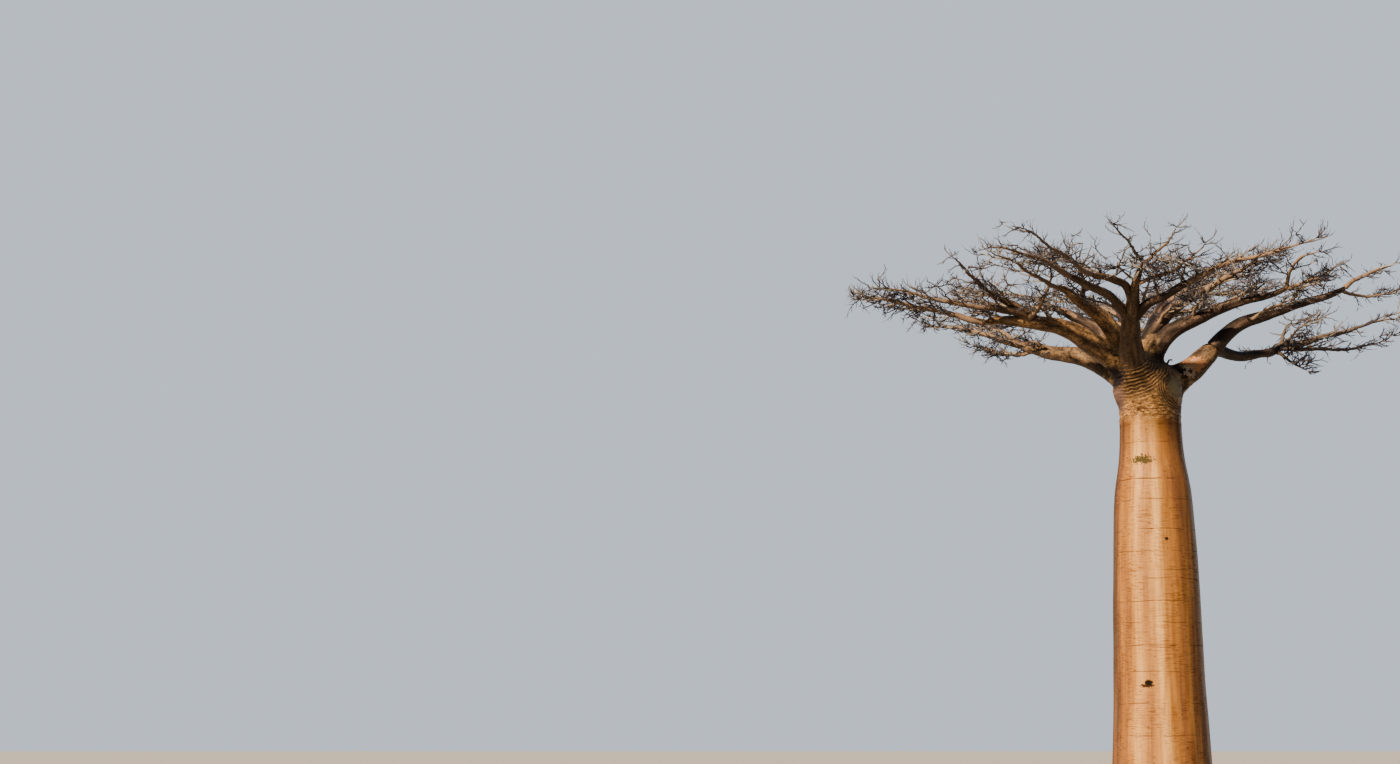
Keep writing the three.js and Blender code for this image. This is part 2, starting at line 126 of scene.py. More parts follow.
MASSES = (
    ("left_tip", "left_bough", 1, (-171, -173), (12, 10, 9), 4800, (130, 20), 1.45),
    ("left_upper_tip", "left_upper_limb", 0.99, (-161, -164), (-4, 21, 2), 4100, (110, 20), 0.9),
    ("left_dark_tip", "left_dark_limb", 1, (-134, -133), (27, 20, 29), 2200, (100, 20), 0.9),
    ("left_riser", "left_bough", 0.76, (-58, -110), (25, 20, 36), 3700, (110, 20), 0.55),
    ("low_left_tip", "low_left_bough", 1, (151, 152), (31, 11, 0), 2900, (110, 20), 0.9),
    ("low_left_under", "low_left_bough", 0.72, (121, 137), (-19, 32, 17), 3000, (100, 20)),
    ("low_left_side", "low_left_bough", 0.84, (104, 116), (34, 22, 12), 3400, (100, 20)),
    ("left_high_tip", "left_high_bough", 1, (-130, -128), (6, 12, 1), 4200, (90, 20), 0.75),
    ("left_high_upright", "left_high_bough", 0.67, (-89, -123), (17, 15, 19), 3300, (100, 20), 0.5),
    ("front_left_tip", "front_left_limb", 1, (-135, -144), (17, 4, -5), 4100, (120, 20), 0.75),
    ("front_high_left_tip", "front_high_left_limb", 1, (-128, -135), (0, 28, 2), 4600, (110, 20)),
    ("front_top_left_tip", "front_bough", 1, (-123, -127), (23, 18, 19), 2600, (80, 18)),
    ("front_top_right_tip", "front_bough", 1, (-72, -83), (13, 2, 25), 2800, (80, 18)),
    ("front_right_tip", "front_right_limb", 1, (-39, -31), (24, -9, 19), 4600, (130, 20), 1.4),
    ("front_right_upper", "front_bough", 0.83, (-52, -76), (7, -3, 27), 3800, (90, 20), 1.3),
    ("right_mid_tip", "right_mid_bough", 1, (-36, -41), (8, 17, 22), 2000, (90, 18), 1.2),
    ("right_mid_upright", "right_mid_bough", 1, (-97, -53), (43, 24, -14), 2600, (85, 18)),
    ("right_high_tip", "right_high_bough", 1, (-46, -41), (21, 21, 9), 2400, (150, 20), 1.5),
    ("right_upper_tip", "right_upper_limb", 0.99, (11, 5), (37, 18, 19), 2400, (100, 20), 0.5),
    ("right_upper_side", "right_upper_limb", 0.95, (21, 11), (-19, 12, 12), 2500, (80, 18), 0.55),
    ("right_upper_riser", "right_upper_limb", 0.6, (-59, -10), (84, 8, 9), 1600, (80, 18), 0.6),
    ("right_lower_tip", "right_lower_limb", 1, (16, 13), (7, 28, 9), 5000, (150, 20), 0.3),
    ("right_lower_side", "right_lower_limb", 0.93, (-10, -10), (0, -16, 26), 3900, (100, 20), 0.38),
    ("right_lower_back", "right_lower_limb", 0.97, (68, 60), (36, 32, 18), 3000, (90, 20), 0.3),
    ("right_lower_droop", "right_lower_limb", 0.88, (-35, -28), (-48, -38, -27), 1500, (80, 18), 1.3),
    ("right_lower_riser", "right_lower_limb", 1, (34, 32), (42, 33, 36), 2200, (70, 18), 0.45),
    ("back_right_tip", "back_right_bough", 1, (42, 30), (10, 10, 6), 4400, (130, 20), 0.75),
    ("back_right_side", "back_right_bough", 0.75, (78, 64), (24, 16, 10), 4000, (110, 20)),
    ("back_right_upright", "back_right_bough", 0.66, (16, 2), (44, 26, 16), 3200, (100, 20)),
    ("back_tip", "back_bough", 1, (84, 94), (12, 10, 6), 4400, (120, 20), 0.8),
    ("back_side", "back_bough", 0.72, (124, 112), (28, 18, 10), 3800, (110, 20), 0.65),
    ("back_upright", "back_bough", 0.6, (52, 62), (36, 26, 14), 3400, (100, 20)),
    ("back_left_tip", "back_left_bough", 1, (140, 154), (10, 10, 4), 4400, (120, 20), 0.55),
    ("back_left_side", "back_left_bough", 0.7, (172, 166), (34, 20, 10), 3600, (100, 20), 0.55),
)
STEMS = tuple(Limb(name + "_twigs", *sizes) for name, *sizes in MASSES)


# The rule that the limbs grow by.
def stream(name):
    """A repeatable stream of numbers from 0 to 1 that a name seeds."""
    word = 0xFFFFFFFF
    state = 2166136261
    for letter in name:
        state = ((state ^ ord(letter)) * 16777619) & word

    def draw():
        nonlocal state
        state = (state + 0x6D2B79F5) & word
        mixed = ((state ^ state >> 15) * (state | 1)) & word
        mixed ^= (mixed + (mixed ^ mixed >> 7) * (mixed | 61)) & word
        return ((mixed ^ mixed >> 14) & word) / 2**32

    return draw


def between(span, share):
    return span[0] + (span[1] - span[0]) * share


def step_towards(heading, climb):
    across, up = np.radians(heading), np.radians(climb)
    return np.stack((np.cos(up) * np.cos(across), np.cos(up) * np.sin(across), np.sin(up)), axis=-1)


def walk(start, length, steps, course):
    """A centre line of equal steps, whose heading and climb at each share of the way course gives."""
    line = [np.array(start, float)]
    for i in range(steps):
        line.append(line[-1] + step_towards(*course((i + 0.5) / steps)) * (length / steps))
    return np.array(line)


def course_of(limb):
    draw = stream(limb.name)
    side_phase, climb_phase = draw(), draw()
    first, middle, last = limb.climb

    def course(share):
        rest = 1 - share
        side_wave = WAVE * math.sin(2 * math.pi * (SIDE_WAVES * share + side_phase))
        climb_wave = WAVE * math.sin(2 * math.pi * (CLIMB_WAVES * share + climb_phase))
        climb = first * rest * rest + 2 * middle * share * rest + last * share * share
        return between(limb.heading, share) + side_wave, climb + climb_wave

    return course


def point_at(line, share):
    place = min(share, 1) * (len(line) - 1)
    step = min(int(place), len(line) - 2)
    return line[step] + (line[step + 1] - line[step]) * (place - step)


def centre_lines():
    """The centre line of every limb and stem, each starting on its parent or at its root in the head."""
    lines = {}
    for limb in BOUGHS + LIMBS + STEMS:
        start = np.array(limb.start) * MM if limb.parent is None else point_at(lines[limb.parent], limb.start)
        lines[limb.name] = walk(start, limb.length * MM, STEPS, course_of(limb))
    return lines


LINES = centre_lines()


def smooth_line(line, count):
    """A smooth curve through the points of a line, as count points evenly along it."""
    ends = np.vstack((2 * line[0] - line[1], line, 2 * line[-1] - line[-2]))
    place = np.linspace(0, len(line) - 1, count)
    step = np.minimum(place.astype(int), len(line) - 2)
    way = (place - step)[:, None]
    before, here, after, beyond = (ends[step + k] for k in range(4))
    curve = 2 * here + (after - before) * way + (2 * before - 5 * here + 4 * after - beyond) * way**2
    return 0.5 * (curve + (3 * here - before - 3 * after + beyond) * way**3)


def directions(line):
    """The unit direction of a line at each of its points."""
    ahead = np.empty_like(line)
    ahead[1:-1] = line[2:] - line[:-2]
    ahead[0], ahead[-1] = line[1] - line[0], line[-1] - line[-2]
    return ahead / np.linalg.norm(ahead, axis=1, keepdims=True)


# Meshes of the trunk and boughs.
def loft(line, radii, sides):
    """A round section drawn out ring by ring along a centre line, and closed at both ends.
    Each point also keeps its place on the same limb drawn straight up, which the bark's pattern follows."""
    bm = bmesh.new()
    straightened = bm.verts.layers.float_vector.new("straightened")
    ahead = [Vector(way) for way in directions(line)]
    bmesh.ops.create_circle(bm, radius=radii[0], segments=sides)
    for vert in bm.verts:
        vert[straightened] = vert.co
    place = Matrix.LocRotScale(Vector(line[0]), ahead[0].to_track_quat("Z", "Y"), None)
    bmesh.ops.transform(bm, matrix=place, verts=bm.verts[:])
    edges = bm.edges[:]
    for i in range(1, len(line)):
        drawn = bmesh.ops.extrude_edge_only(bm, edges=edges)["geom"]
        ring = [part for part in drawn if isinstance(part, bmesh.types.BMVert)]
        edges = [part for part in drawn if isinstance(part, bmesh.types.BMEdge)]
        swing = ahead[i - 1].rotation_difference(ahead[i]).to_matrix().to_4x4()
        size = Matrix.Scale(radii[i] / radii[i - 1], 4)
        here, there = Matrix.Translation(-Vector(line[i - 1])), Matrix.Translation(Vector(line[i]))
        bmesh.ops.transform(bm, matrix=there @ swing @ size @ here, verts=ring)
        stride = (Vector(line[i]) - Vector(line[i - 1])).length
        for vert in ring:
            vert[straightened] += Vector((0, 0, stride))
    bmesh.ops.holes_fill(bm, edges=bm.edges[:], sides=0)
    bmesh.ops.recalc_face_normals(bm, faces=bm.faces[:])
    return bm


def linked(mesh):
    piece = bpy.data.objects.new(mesh.name, mesh)
    bpy.context.scene.collection.objects.link(piece)
    return piece


def piece_of(name, bm):
    mesh = bpy.data.meshes.new(name)
    bm.to_mesh(mesh)
    bm.free()
    return linked(mesh)


@contextmanager
def edited(piece):
    """Opens a piece's mesh to the bmesh operators, and puts it back."""
    bm = bmesh.new()
    bm.from_mesh(piece.data)
    yield bm
    bm.to_mesh(piece.data)
    bm.free()


def point_values(mesh, kind):
    """The places ("co") or the directions ("normal") of a mesh's points, one to a row."""
    values = np.empty(len(mesh.vertices) * 3)
    mesh.vertices.foreach_get(kind, values)
    return values.reshape(-1, 3)


def move_points(mesh, points):
    mesh.vertices.foreach_set("co", points.ravel())
    mesh.update()


def bumps(points, scale):
    """Smooth noise from -1 to 1 at each point, with scale bumps to the metre."""
    return np.array([noise.noise(Vector(point)) for point in points * scale])


def apply_modifiers(piece):
    graph = bpy.context.evaluated_depsgraph_get()
    made = bpy.data.meshes.new_from_object(piece.evaluated_get(graph))
    piece.modifiers.clear()
    old = piece.data
    piece.data = made
    bpy.data.meshes.remove(old)
    made.name = piece.name


# How finely the trunk is drawn, and the size of the faces of the one skin that it then gets.
PROFILE_POINTS = 240
PROFILE_TOP = 15.65
TIP_RADIUS = 0.05
TRUNK_RINGS = 120
TRUNK_SIDES = 96
TRUNK_VOXEL = 0.06
# Collars at the boughs' roots: their reach by the bough's girth, the part of it inside the trunk, and how far
# they are swollen and how much of that they lose.
COLLAR_POINTS = 60
COLLAR_SIDES = 32
COLLAR_REACH = (0.9, 1.5)
COLLAR_SUNK = 0.6
COLLAR_SWELL = 1.16
COLLAR_FADE = 0.26
# In millimetres.
THICKEST_GIRTH = 600
# The shaft follows the profile up to its top, and the head is free of it from its start.
SHAFT_TOP = 13.1
HEAD_START = 13.9
HEAD_BLEND = 0.3
INSIDE_SHARE = 0.96
FOOT_HEIGHT = 0.1
HEAD_SMOOTHING = 10
NECK = (12.7, 15.4)
NECK_REACH = 1.8


def trunk_profile(heights):
    stations = smooth_line(np.array(TRUNK_STATIONS, float) * MM, PROFILE_POINTS)
    return np.interp(heights, stations[:, 0], stations[:, 1])


def trunk_radius(angles, heights):
    """The radius of the smooth trunk: its profile swelled into lobes, deepest at the root flare."""
    swell = 1.0
    for (count, depth, turn), fading in ((FLARE_LOBES, np.exp(-heights / FLARE_HEIGHT)), (SHAFT_LOBES, 1.0)):
        swell = swell + depth * fading * np.sin(count * (angles + math.radians(turn)))
    return trunk_profile(heights) * swell


def trunk_core():
    heights = np.append(np.linspace(0, PROFILE_TOP, TRUNK_RINGS), TRUNK_TOP)
    radii = np.append(trunk_profile(heights[:-1]), TIP_RADIUS)
    line = np.column_stack((TRUNK_LEAN * heights / TRUNK_TOP, np.zeros(len(heights)), heights))
    return loft(line, radii, TRUNK_SIDES)


def limb_radii(limb, count):
    return np.linspace(limb.girth[0], limb.girth[1], count) * MM


def bough_collar(bough):
    """The root of a bough as it grows out of the head, swollen at the trunk."""
    line = smooth_line(LINES[bough.name], COLLAR_POINTS)
    along = np.linspace(0, bough.length * MM, COLLAR_POINTS)
    reach = between(COLLAR_REACH, bough.girth[0] / THICKEST_GIRTH) + COLLAR_SUNK
    count = int(np.searchsorted(along, reach))
    swell = COLLAR_SWELL - COLLAR_FADE * np.linspace(0, 1, count) ** 1.5
    return loft(line[:count], limb_radii(bough, COLLAR_POINTS)[:count] * swell, COLLAR_SIDES)


# Rolls of bark in the front of the neck: their middle across and up, nearest and furthest reach, spacing,
# depth, and the turn round the middle at which they begin and end, in degrees.
FOLDS = (
    ((-0.84, 15.76), (0.5, 1.68), 0.118, 0.022, (240, 336)),
    ((1.07, 14.58), (0.7, 1.02), 0.09, 0.018, (168, 285)),
)
ROLL_NAMES = ("front_rolls", "collar_rolls")
# Where the bark of the right bough is torn off at its root: a spot, half width and height, raggedness
# and colour.
TORN_BARK = (
    ((1.58, -0.5, 15.4), (0.5, 0.38), 1.6, "#a87246"),
    ((1.55, -0.5, 15.5), (0.16, 0.13), 1.2, "#a9825f"),
    ((1.3, -0.5, 15.1), (0.44, 0.32), 1.4, "#ab8d6c"),
    # Dark pocks drawn only in colour: their black is partly painted shade.
    ((1.1, -0.5, 15.16), (0.24, 0.17), 2.6, "#140c08"),
    ((1.42, -0.5, 15.14), (0.15, 0.1), 2.6, "#140c08"),
    ((1.24, -0.5, 14.93), (0.22, 0.13), 2.6, "#1a100b"),
)
# The swelling under the low left bough: its middle, reach and height.
SHOULDER = ((-1.2, 0.0, 14.6), 0.5, 0.11)
# Ring creases: height, and the turn round the trunk at which each begins and ends. The photo sees the side
# at -102.
RINGS = (
    (13.72, -150, -62), (13.5, -112, -40), (13.18, -165, -92), (12.51, -180, 180), (11.19, -162, -118),
    (11.17, -92, 28), (10.44, -180, 180), (9.38, -122, -104), (8.61, -96, 48), (7.92, -130, -32),
    (7.63, -172, -130), (6.85, -112, -2), (6.1, 48, 158), (5.3, -142, -72), (4.4, -82, 78), (3.3, -192, -102),
    (2.2, -112, 48),
)
RING_GIRTH = 0.015
RING_DEPTH = 0.005
RING_HALF_HEIGHT = 0.05
RING_FADE = 8
ROLL_FADE = 14
# The heights at which the neck's wrinkles begin and end, and how far in front of the middle the rolls begin.
WRINKLES_START = (12.9, 13.3)
WRINKLES_END = (14.4, 15.2)
FRONT_EDGE = (0.15, 0.5)
# Upright flutes round the shaft: how many, where one of them stands out, and how far.
FLUTES = (12, -97, 0.008)
# Lumps drawn out up the shaft: how far they stand out, and how many to the metre.
SHAFT_LUMPS = ((0.012, 1.9), (0.004, 5.0))
# Streaks down the bark: turn round the trunk, half width in degrees, and how much paler than the rest.
# On the side that faces the camera, from -183 to -44, they are partly painted light: the dark ones towards
# its edges are painted shade, and the pale ones at -128 and -98 a painted sheen.
STREAKS_AND_PAINTED_LIGHT = (
    (-183, 13, -1.3), (-162, 9, -0.8), (-146, 8, -0.6), (-128, 7, 0.6), (-113, 6, -0.15), (-98, 6, 1.2),
    (-84, 7, -0.2), (-68, 10, -0.6), (-44, 14, -0.5), (-14, 10, 0.1), (12, 9, 0.6), (38, 12, -0.5),
    (64, 8, 0.7), (95, 14, -0.4), (128, 9, 0.7), (152, 8, -0.3),
)
# Marks in the bark: turn round the trunk, height, half width and height, raggedness and colour.
MARKS = (
    (-115.0, 11.86, (0.46, 0.21), 2.4, "#3f361b"),
    (-116.6, 3.9, (0.32, 0.1), 1.4, "#2f1c0e"),
    # A hole drawn only in colour: its black is partly painted shade.
    (-114.4, 4.0, (0.19, 0.14), 0.8, "#080503"),
    (-84.1, 9.01, (0.1, 0.08), 0.8, "#24160e"),
)
# How far a mark or patch reaches into the bark.
MARK_DEPTH = 0.9
# Patches on the neck: a spot, half width and height, raggedness and colour. The first is painted shade on the
# neck's left side, the second a smooth olive patch of bark, and the third a painted shadow under the low left
# bough.
NECK_PATCHES_AND_PAINTED_SHADE = (
    ((-1.3, -0.4, 14.1), (0.52, 0.95), 1.0, "#604a40"),
    ((0.78, -0.8, 14.5), (0.42, 0.56), 0.8, "#7a6a48"),
    ((-1.36, -0.4, 14.92), (0.66, 0.56), 0.5, "#141018"),
)


def soft_step(low, high, values):
    share = np.clip((values - low) / (high - low), 0, 1)
    return share * share * (3 - 2 * share)


def soft_band(first, last, fade, values):
    """1 between first and last and 0 outside them, with edges that fade to both sides."""
    return soft_step(first - fade, first + fade, values) * (1 - soft_step(last - fade, last + fade, values))


def shaft_relief(points, angles, heights):
    """How far the bark stands out on the shaft: slow swells, upright flutes, and ring creases."""
    stretched = points * np.array((1.0, 1.0, 0.1))
    relief = 0.016 * bumps(points, 0.55) - 0.02
    for lift, to_metre in SHAFT_LUMPS:
        relief += lift * bumps(stretched, to_metre)
    count, ridge, depth = FLUTES
    drift = 0.25 * bumps(points + 21.0, 0.22)
    strength = 0.8 + 0.5 * bumps(points + 5.0, 0.4)
    relief += depth * strength * np.cos(count * (angles - math.radians(ridge)) + drift)
    wander = 0.05 * bumps(points + 7.0, 0.8)
    turns = np.degrees(angles)
    for height, first, last in RINGS:
        shown = soft_band(first, last, RING_FADE, turns)
        if last - first == 360:
            shown = 1.0
        relief -= RING_DEPTH * shown * np.exp(-(((heights - height - wander) / RING_HALF_HEIGHT) ** 2))
    return relief


def shaft_tone(points, angles):
    """How pale the shaft's bark is, from -1 to 1: streaks that wander a little on their way up, partly
    painted shade and sheen.
    """
    turns = np.degrees(angles) + 4.0 * bumps(points * np.array((1.0, 1.0, 0.35)), 0.8)
    drawn_out = points * np.array((1.0, 1.0, 0.09))
    tone = 0.5 * bumps(drawn_out, 2.2) + 0.4 * bumps(drawn_out + 4.0, 5.0)
    for middle, width, paler in STREAKS_AND_PAINTED_LIGHT:
        away = np.abs((turns - middle + 180) % 360 - 180)
        tone += paler * np.exp(-((away / width) ** 2.4))
    return tone


def head_relief(points):
    """How far the bark stands out on the head, and for each set of rolls in front which roll a point is on
    and how far the set shows there."""
    across, depth, up = points.T
    warp = 0.05 * bumps(points + 3.0, 1.5)
    wrinkles = 1 - 2.4 * np.abs(bumps(points * np.array((1.0, 1.0, 3.2)) + 9.0, 1.8))
    band = soft_step(*WRINKLES_START, up) * (1 - soft_step(*WRINKLES_END, up))
    lift = 0.014 * bumps(points, 2.2) + 0.016 * wrinkles * band
    rolls = []
    front = soft_step(*FRONT_EDGE, -depth)
    for (middle_x, middle_z), (near, far), spacing, height, (first, last) in FOLDS:
        away = np.hypot(across - middle_x, up - middle_z) + warp
        turn = np.degrees(np.arctan2(up - middle_z, across - middle_x)) % 360
        shown = front * soft_step(near - 0.08, near + 0.06, away)
        shown *= 1 - soft_step(far - 0.2, far + 0.1, away)
        shown *= soft_band(first, last, ROLL_FADE, turn)
        roll = 0.9 - 1.8 * np.abs(np.sin(math.pi * away / spacing)) ** 0.8
        lift += shown * (height * roll - lift)
        rolls.append(np.column_stack((away / spacing, shown, np.zeros(len(points)))))
    middle, reach, out = SHOULDER
    lift += out * np.exp(-(((points - np.array(middle)) ** 2).sum(1)) / reach**2)
    return lift, rolls


def refine_neck(trunk):
    """Cuts the faces of the neck in four, so that it carries its folds."""

    def in_neck(vert):
        return NECK[0] < vert.co.z < NECK[1] and math.hypot(vert.co.x, vert.co.y) < NECK_REACH

    with edited(trunk) as bm:
        edges = [edge for edge in bm.edges if in_neck(edge.verts[0]) and in_neck(edge.verts[1])]
        bmesh.ops.subdivide_edges(bm, edges=edges, cuts=1, use_grid_fill=True)


def smooth_head(trunk):
    """Softens the creases where the boughs leave the head."""
    with edited(trunk) as bm:
        head = [vert for vert in bm.verts if vert.co.z > SHAFT_TOP]
        axes = {f"use_axis_{axis}": True for axis in "xyz"}
        for _ in range(HEAD_SMOOTHING):
            bmesh.ops.smooth_vert(bm, verts=head, factor=0.5, **axes)


def make_trunk():
    trunk = piece_of("trunk_bark", trunk_core())
    with edited(trunk) as whole:
        for bough in BOUGHS:
            part = bpy.data.meshes.new("collar")
            collar = bough_collar(bough)
            collar.to_mesh(part)
            collar.free()
            whole.from_mesh(part)
            bpy.data.meshes.remove(part)
    skin = trunk.modifiers.new("one skin", "REMESH")
    skin.mode = "VOXEL"
    skin.voxel_size = TRUNK_VOXEL
    apply_modifiers(trunk)
    smooth_head(trunk)
    refine_neck(trunk)
    points = point_values(trunk.data, "co")
    lean = TRUNK_LEAN * points[:, 2] / TRUNK_TOP
    angles = np.arctan2(points[:, 1], points[:, 0] - lean)
    heights = np.clip(points[:, 2], 0, None)
    outwards = np.column_stack((np.cos(angles), np.sin(angles), np.zeros(len(points))))
    axis = np.column_stack((lean, np.zeros(len(points)), heights))
    radii = trunk_radius(angles, heights)
    skin_points = axis + outwards * radii[:, None]
    inside = np.hypot(points[:, 0] - lean, points[:, 1]) < INSIDE_SHARE * radii
    shaft = 1 - soft_step(SHAFT_TOP, HEAD_START, heights)
    shaft[inside & (heights < FOOT_HEIGHT)] = 0
    relief = shaft_relief(skin_points, angles, heights) * shaft
    placed = points + (skin_points - points) * shaft[:, None] + outwards * relief[:, None]
    head = soft_step(SHAFT_TOP - HEAD_BLEND, HEAD_START - HEAD_BLEND, heights)
    moved = np.nonzero(head > 0)[0]
    lift = np.zeros(len(points))
    head_lift, rolls = head_relief(points[moved])
    lift[moved] = head_lift * head[moved]
    placed += point_values(trunk.data, "normal") * lift[:, None]
    placed[:, 2] = np.clip(placed[:, 2], 0, None)
    placed[points[:, 2] < 0.5 * TRUNK_VOXEL, 2] = 0
    move_points(trunk.data, placed)
    tone = shaft_tone(skin_points, angles)
    trunk.data.attributes.new("tone", "FLOAT", "POINT").data.foreach_set("value", tone)
    for name, values in zip(ROLL_NAMES, rolls):
        spread = np.zeros((len(points), 3))
        spread[moved] = values
        trunk.data.attributes.new(name, "FLOAT_VECTOR", "POINT").data.foreach_set("vector", spread.ravel())
    return trunk


def bough_relief(points, girths):
    """How far the bark stands out on a bough: lumps in step with its girth, and cross creases."""
    lumps = bumps(points, 2.4)
    creases = np.abs(bumps(points + 11.0, 4.5)) ** 0.5
    return 0.014 * lumps + girths * 0.08 * bumps(points + 5.0, 1.6) - 0.012 * (1 - creases)


BOUGH_SIDES = 28
LIMB_SIDES = 16
FEWEST_RINGS = 30
RING_EVERY = 0.07
ROOT_SWELL = 0.45
ROOT_REACH = 1.6
ROUNDED_END = (0.97, 0.88, 0.7, 0.4)


def make_bough(bough, sides):
    """A bough or limb drawn out along its centre line, thicker where it leaves its parent."""
    count = max(FEWEST_RINGS, int(bough.length * MM / RING_EVERY))
    line = smooth_line(LINES[bough.name], count)
    along = np.linspace(0, bough.length * MM, count)
    radii = limb_radii(bough, count)
    if bough.parent:
        swell = between(GIRTHS[bough.parent], bough.start) / bough.girth[0] - 1
        radii = radii * (1 + min(ROOT_SWELL, swell) * np.exp(-along / (ROOT_REACH * bough.girth[0] * MM)))
    radii[-len(ROUNDED_END) :] *= ROUNDED_END
    piece = piece_of(bough.name + "_bark", loft(line, radii, sides))
    points = point_values(piece.data, "co")
    nearest = np.argmin(np.linalg.norm(points[:, None] - line[None], axis=2), axis=1)
    relief = bough_relief(points, radii[nearest])
    move_points(piece.data, points + point_values(piece.data, "normal") * relief[:, None])
    return piece


# Twigs: the source's sprays and more of them by the same rule, then branchlets, twiglets and stubs.
SPRAY_PER_METRE = 1.25
SPRAY_SHARES = (0.14, 0.96)
SPRAY_LONGEST = 1.9
SPRAY_LENGTH_SHARE = 0.48
SPRAY_TIP_SHARE = 0.45
SPRAY_SPREAD = (30, 62)
SPRAY_CLIMB = (0, 14)
SPRAY_RISE = (8, 26)
SPRAY_BEND = 12
SPRAY_TIMES = 2.6
SIDE_SPRAY_PER_METRE = 1.5
LENGTHS_TRIED = (1, 0.7, 0.45)
HEADING_REACH = 0.02
PASSING_GAP = 0.02
SPRAY_GIRTH = (0.032, 0.014)
SPRAY_THINNEST = 0.026
SPRAY_RADIUS_SHARE = 0.5
FEWEST_SPRAYS = 3
SPRAY_POINTS = 8
SPRAY_CROOK = 0.05
SPRAY_SIDES = 5

# A stem's tube: its fewest points and their spacing, how crooked and slim it is, and its knots.
STEM_POINTS = 12
STEM_POINT_EVERY = 0.1
STEM_CROOK = 0.03
STEM_SLIMNESS = 0.95
STEM_KNOTS = (0.93, 1.1)
STEM_SIDES = 8

# Side stems fill the crown between the masses: where on a bough or a limb they begin, and their sizes.
SIDE_EVERY = 0.6
SIDE_FROM_BOUGH = 0.4
SIDE_FROM_LIMB = 0.16
SIDE_LENGTH = (1.1, 2.3)
SIDE_SPREAD = (32, 68)
SIDE_CLIMB = ((14, 48), (12, 26), (4, 20))
SIDE_GIRTH_SHARE = 0.34
# In millimetres.
SIDE_END_GIRTH = 20
SIDE_RADIUS = 0.03
SIDE_BEND = 25
SIDE_LAST = 0.97
BARE_BOUGHS = ("right_bough",)

# Branchlets on stems and sprays, twiglets at their kinks and stubs on these: lengths, and radii along them.
BRANCHLET_EVERY = 0.38
BRANCHLET_LENGTH = (0.35, 0.88)
BRANCHLET_SPREAD = (20, 80)
BRANCHLET_CLIMB = (-12, 32)
HANGING_CLIMB = (-45, -12)
HANGING_SHARE = 0.25
BRANCHLET_GIRTH = (0.024, 0.022, 0.02, 0.018, 0.015, 0.012)
BRANCHLET_FIRST = 0.12
BRANCHLET_SIDES = 4
AHEAD = 0.05
TIP_FORKS = 3
TWIGLET_LENGTH = (0.12, 0.34)
TWIGLET_GIRTH = (0.016, 0.014, 0.01)
TWIGLET_SHARE = 0.8
STUB_LENGTH = (0.06, 0.14)
STUB_GIRTH = (0.012, 0.009)
STUB_SHARE = 0.5
TWIGLET_SIDES = 3
# Kinks of a branchlet, a twiglet and a stub, and how far each turns upwards on its way.
BRANCHLET_KINKS = (5, 14)
TWIGLET_KINKS = (2, 20)
STUB_KINKS = (1, 10)
# At a kink: the turn in degrees and what share of it is taken, the stray in climb, and the step's share.
KINK = 29
KINK_SHARE = (0.4, 1.0)
CLIMB_STRAY = 14
STRIDE_SHARE = (0.75, 1.25)
OFFSHOOT_SPREAD = (20, 60)
OFFSHOOT_CLIMB = (-30, 25)

# How far past the solids' box a fine twig may reach, and the gaps in the crown that show sky in the photo:
# middle, and half width and height of each, in the photo's pixels.
REACH = 0.2
SKY_GAPS = (
    ((1181, 349), (28, 15)),
    ((1253, 337), (27, 8)),
    ((1050, 343), (10, 3)),
)

# Where the crown's dense part ends in the photo, in its pixels, and the share of twigs that grow above it.
CROWN_TOP = (
    (850, 290), (930, 284), (952, 276), (975, 258), (1010, 248), (1050, 243), (1090, 252), (1150, 249),
    (1200, 254), (1257, 247), (1300, 245), (1330, 268), (1360, 272), (1400, 266),
)
ABOVE_SHARE = 0.3

FIRST_STEM = len(BOUGHS) + len(LIMBS)
STEM_PLACES = {limb.name: i for i, limb in enumerate(BOUGHS + LIMBS + STEMS)}
GIRTHS = {limb.name: limb.girth for limb in BOUGHS + LIMBS}


def skins():
    """Every step of every centre line as arrays: start, way, and radius at both ends."""
    starts, ways, girths = [], [], []
    for limb in BOUGHS + LIMBS + STEMS:
        line = LINES[limb.name]
        radii = limb_radii(limb, len(line))
        starts.append(line[:-1])
        ways.append(line[1:] - line[:-1])
        girths.append(np.column_stack((radii[:-1], radii[1:])))
    return np.vstack(starts), np.vstack(ways), np.vstack(girths)


SKIN_STARTS, SKIN_WAYS, SKIN_GIRTHS = skins()
SKIN_LENGTHS = (SKIN_WAYS**2).sum(1)


def gaps_to_limbs(points):
    """Distance from each point to the skin of every limb, which is negative inside it."""
    towards = points[:, None] - SKIN_STARTS[None]
    share = np.clip((towards * SKIN_WAYS).sum(2) / SKIN_LENGTHS, 0, 1)
    away = np.linalg.norm(towards - share[..., None] * SKIN_WAYS, axis=2)
    gaps = away - (SKIN_GIRTHS[:, 0] + (SKIN_GIRTHS[:, 1] - SKIN_GIRTHS[:, 0]) * share)
    return gaps.reshape(len(points), len(STEM_PLACES), STEPS).min(2)


def seen_in_photo(points):
    """Where points show in the photo, in its pixels."""
    across, away, up = (points - np.array(EYE)).T
    tilt = math.radians(TILT)
    depth = away * math.cos(tilt) + up * math.sin(tilt)
    rise = up * math.cos(tilt) - away * math.sin(tilt)
    scale = LENS / FILM * PHOTO_SIZE[0]
    return PHOTO_SIZE[0] / 2 + scale * across / depth, PHOTO_SIZE[1] / 2 - scale * rise / depth


def in_open_air(points):
    """Whether each point is within the crown's reach and leaves the gaps that show sky free."""
    low, high = (np.array(corner) for corner in solid_box)
    free = ((points > low - REACH) & (points < high + REACH)).all(axis=1)
    across, down = seen_in_photo(points)
    for (middle_x, middle_y), (wide, tall) in SKY_GAPS:
        free &= ((across - middle_x) / wide) ** 2 + ((down - middle_y) / tall) ** 2 > 1
    return free


def above_crown(points):
    across, down = seen_in_photo(points)
    edge = np.array(CROWN_TOP)
    return down < np.interp(across, edge[:, 0], edge[:, 1])


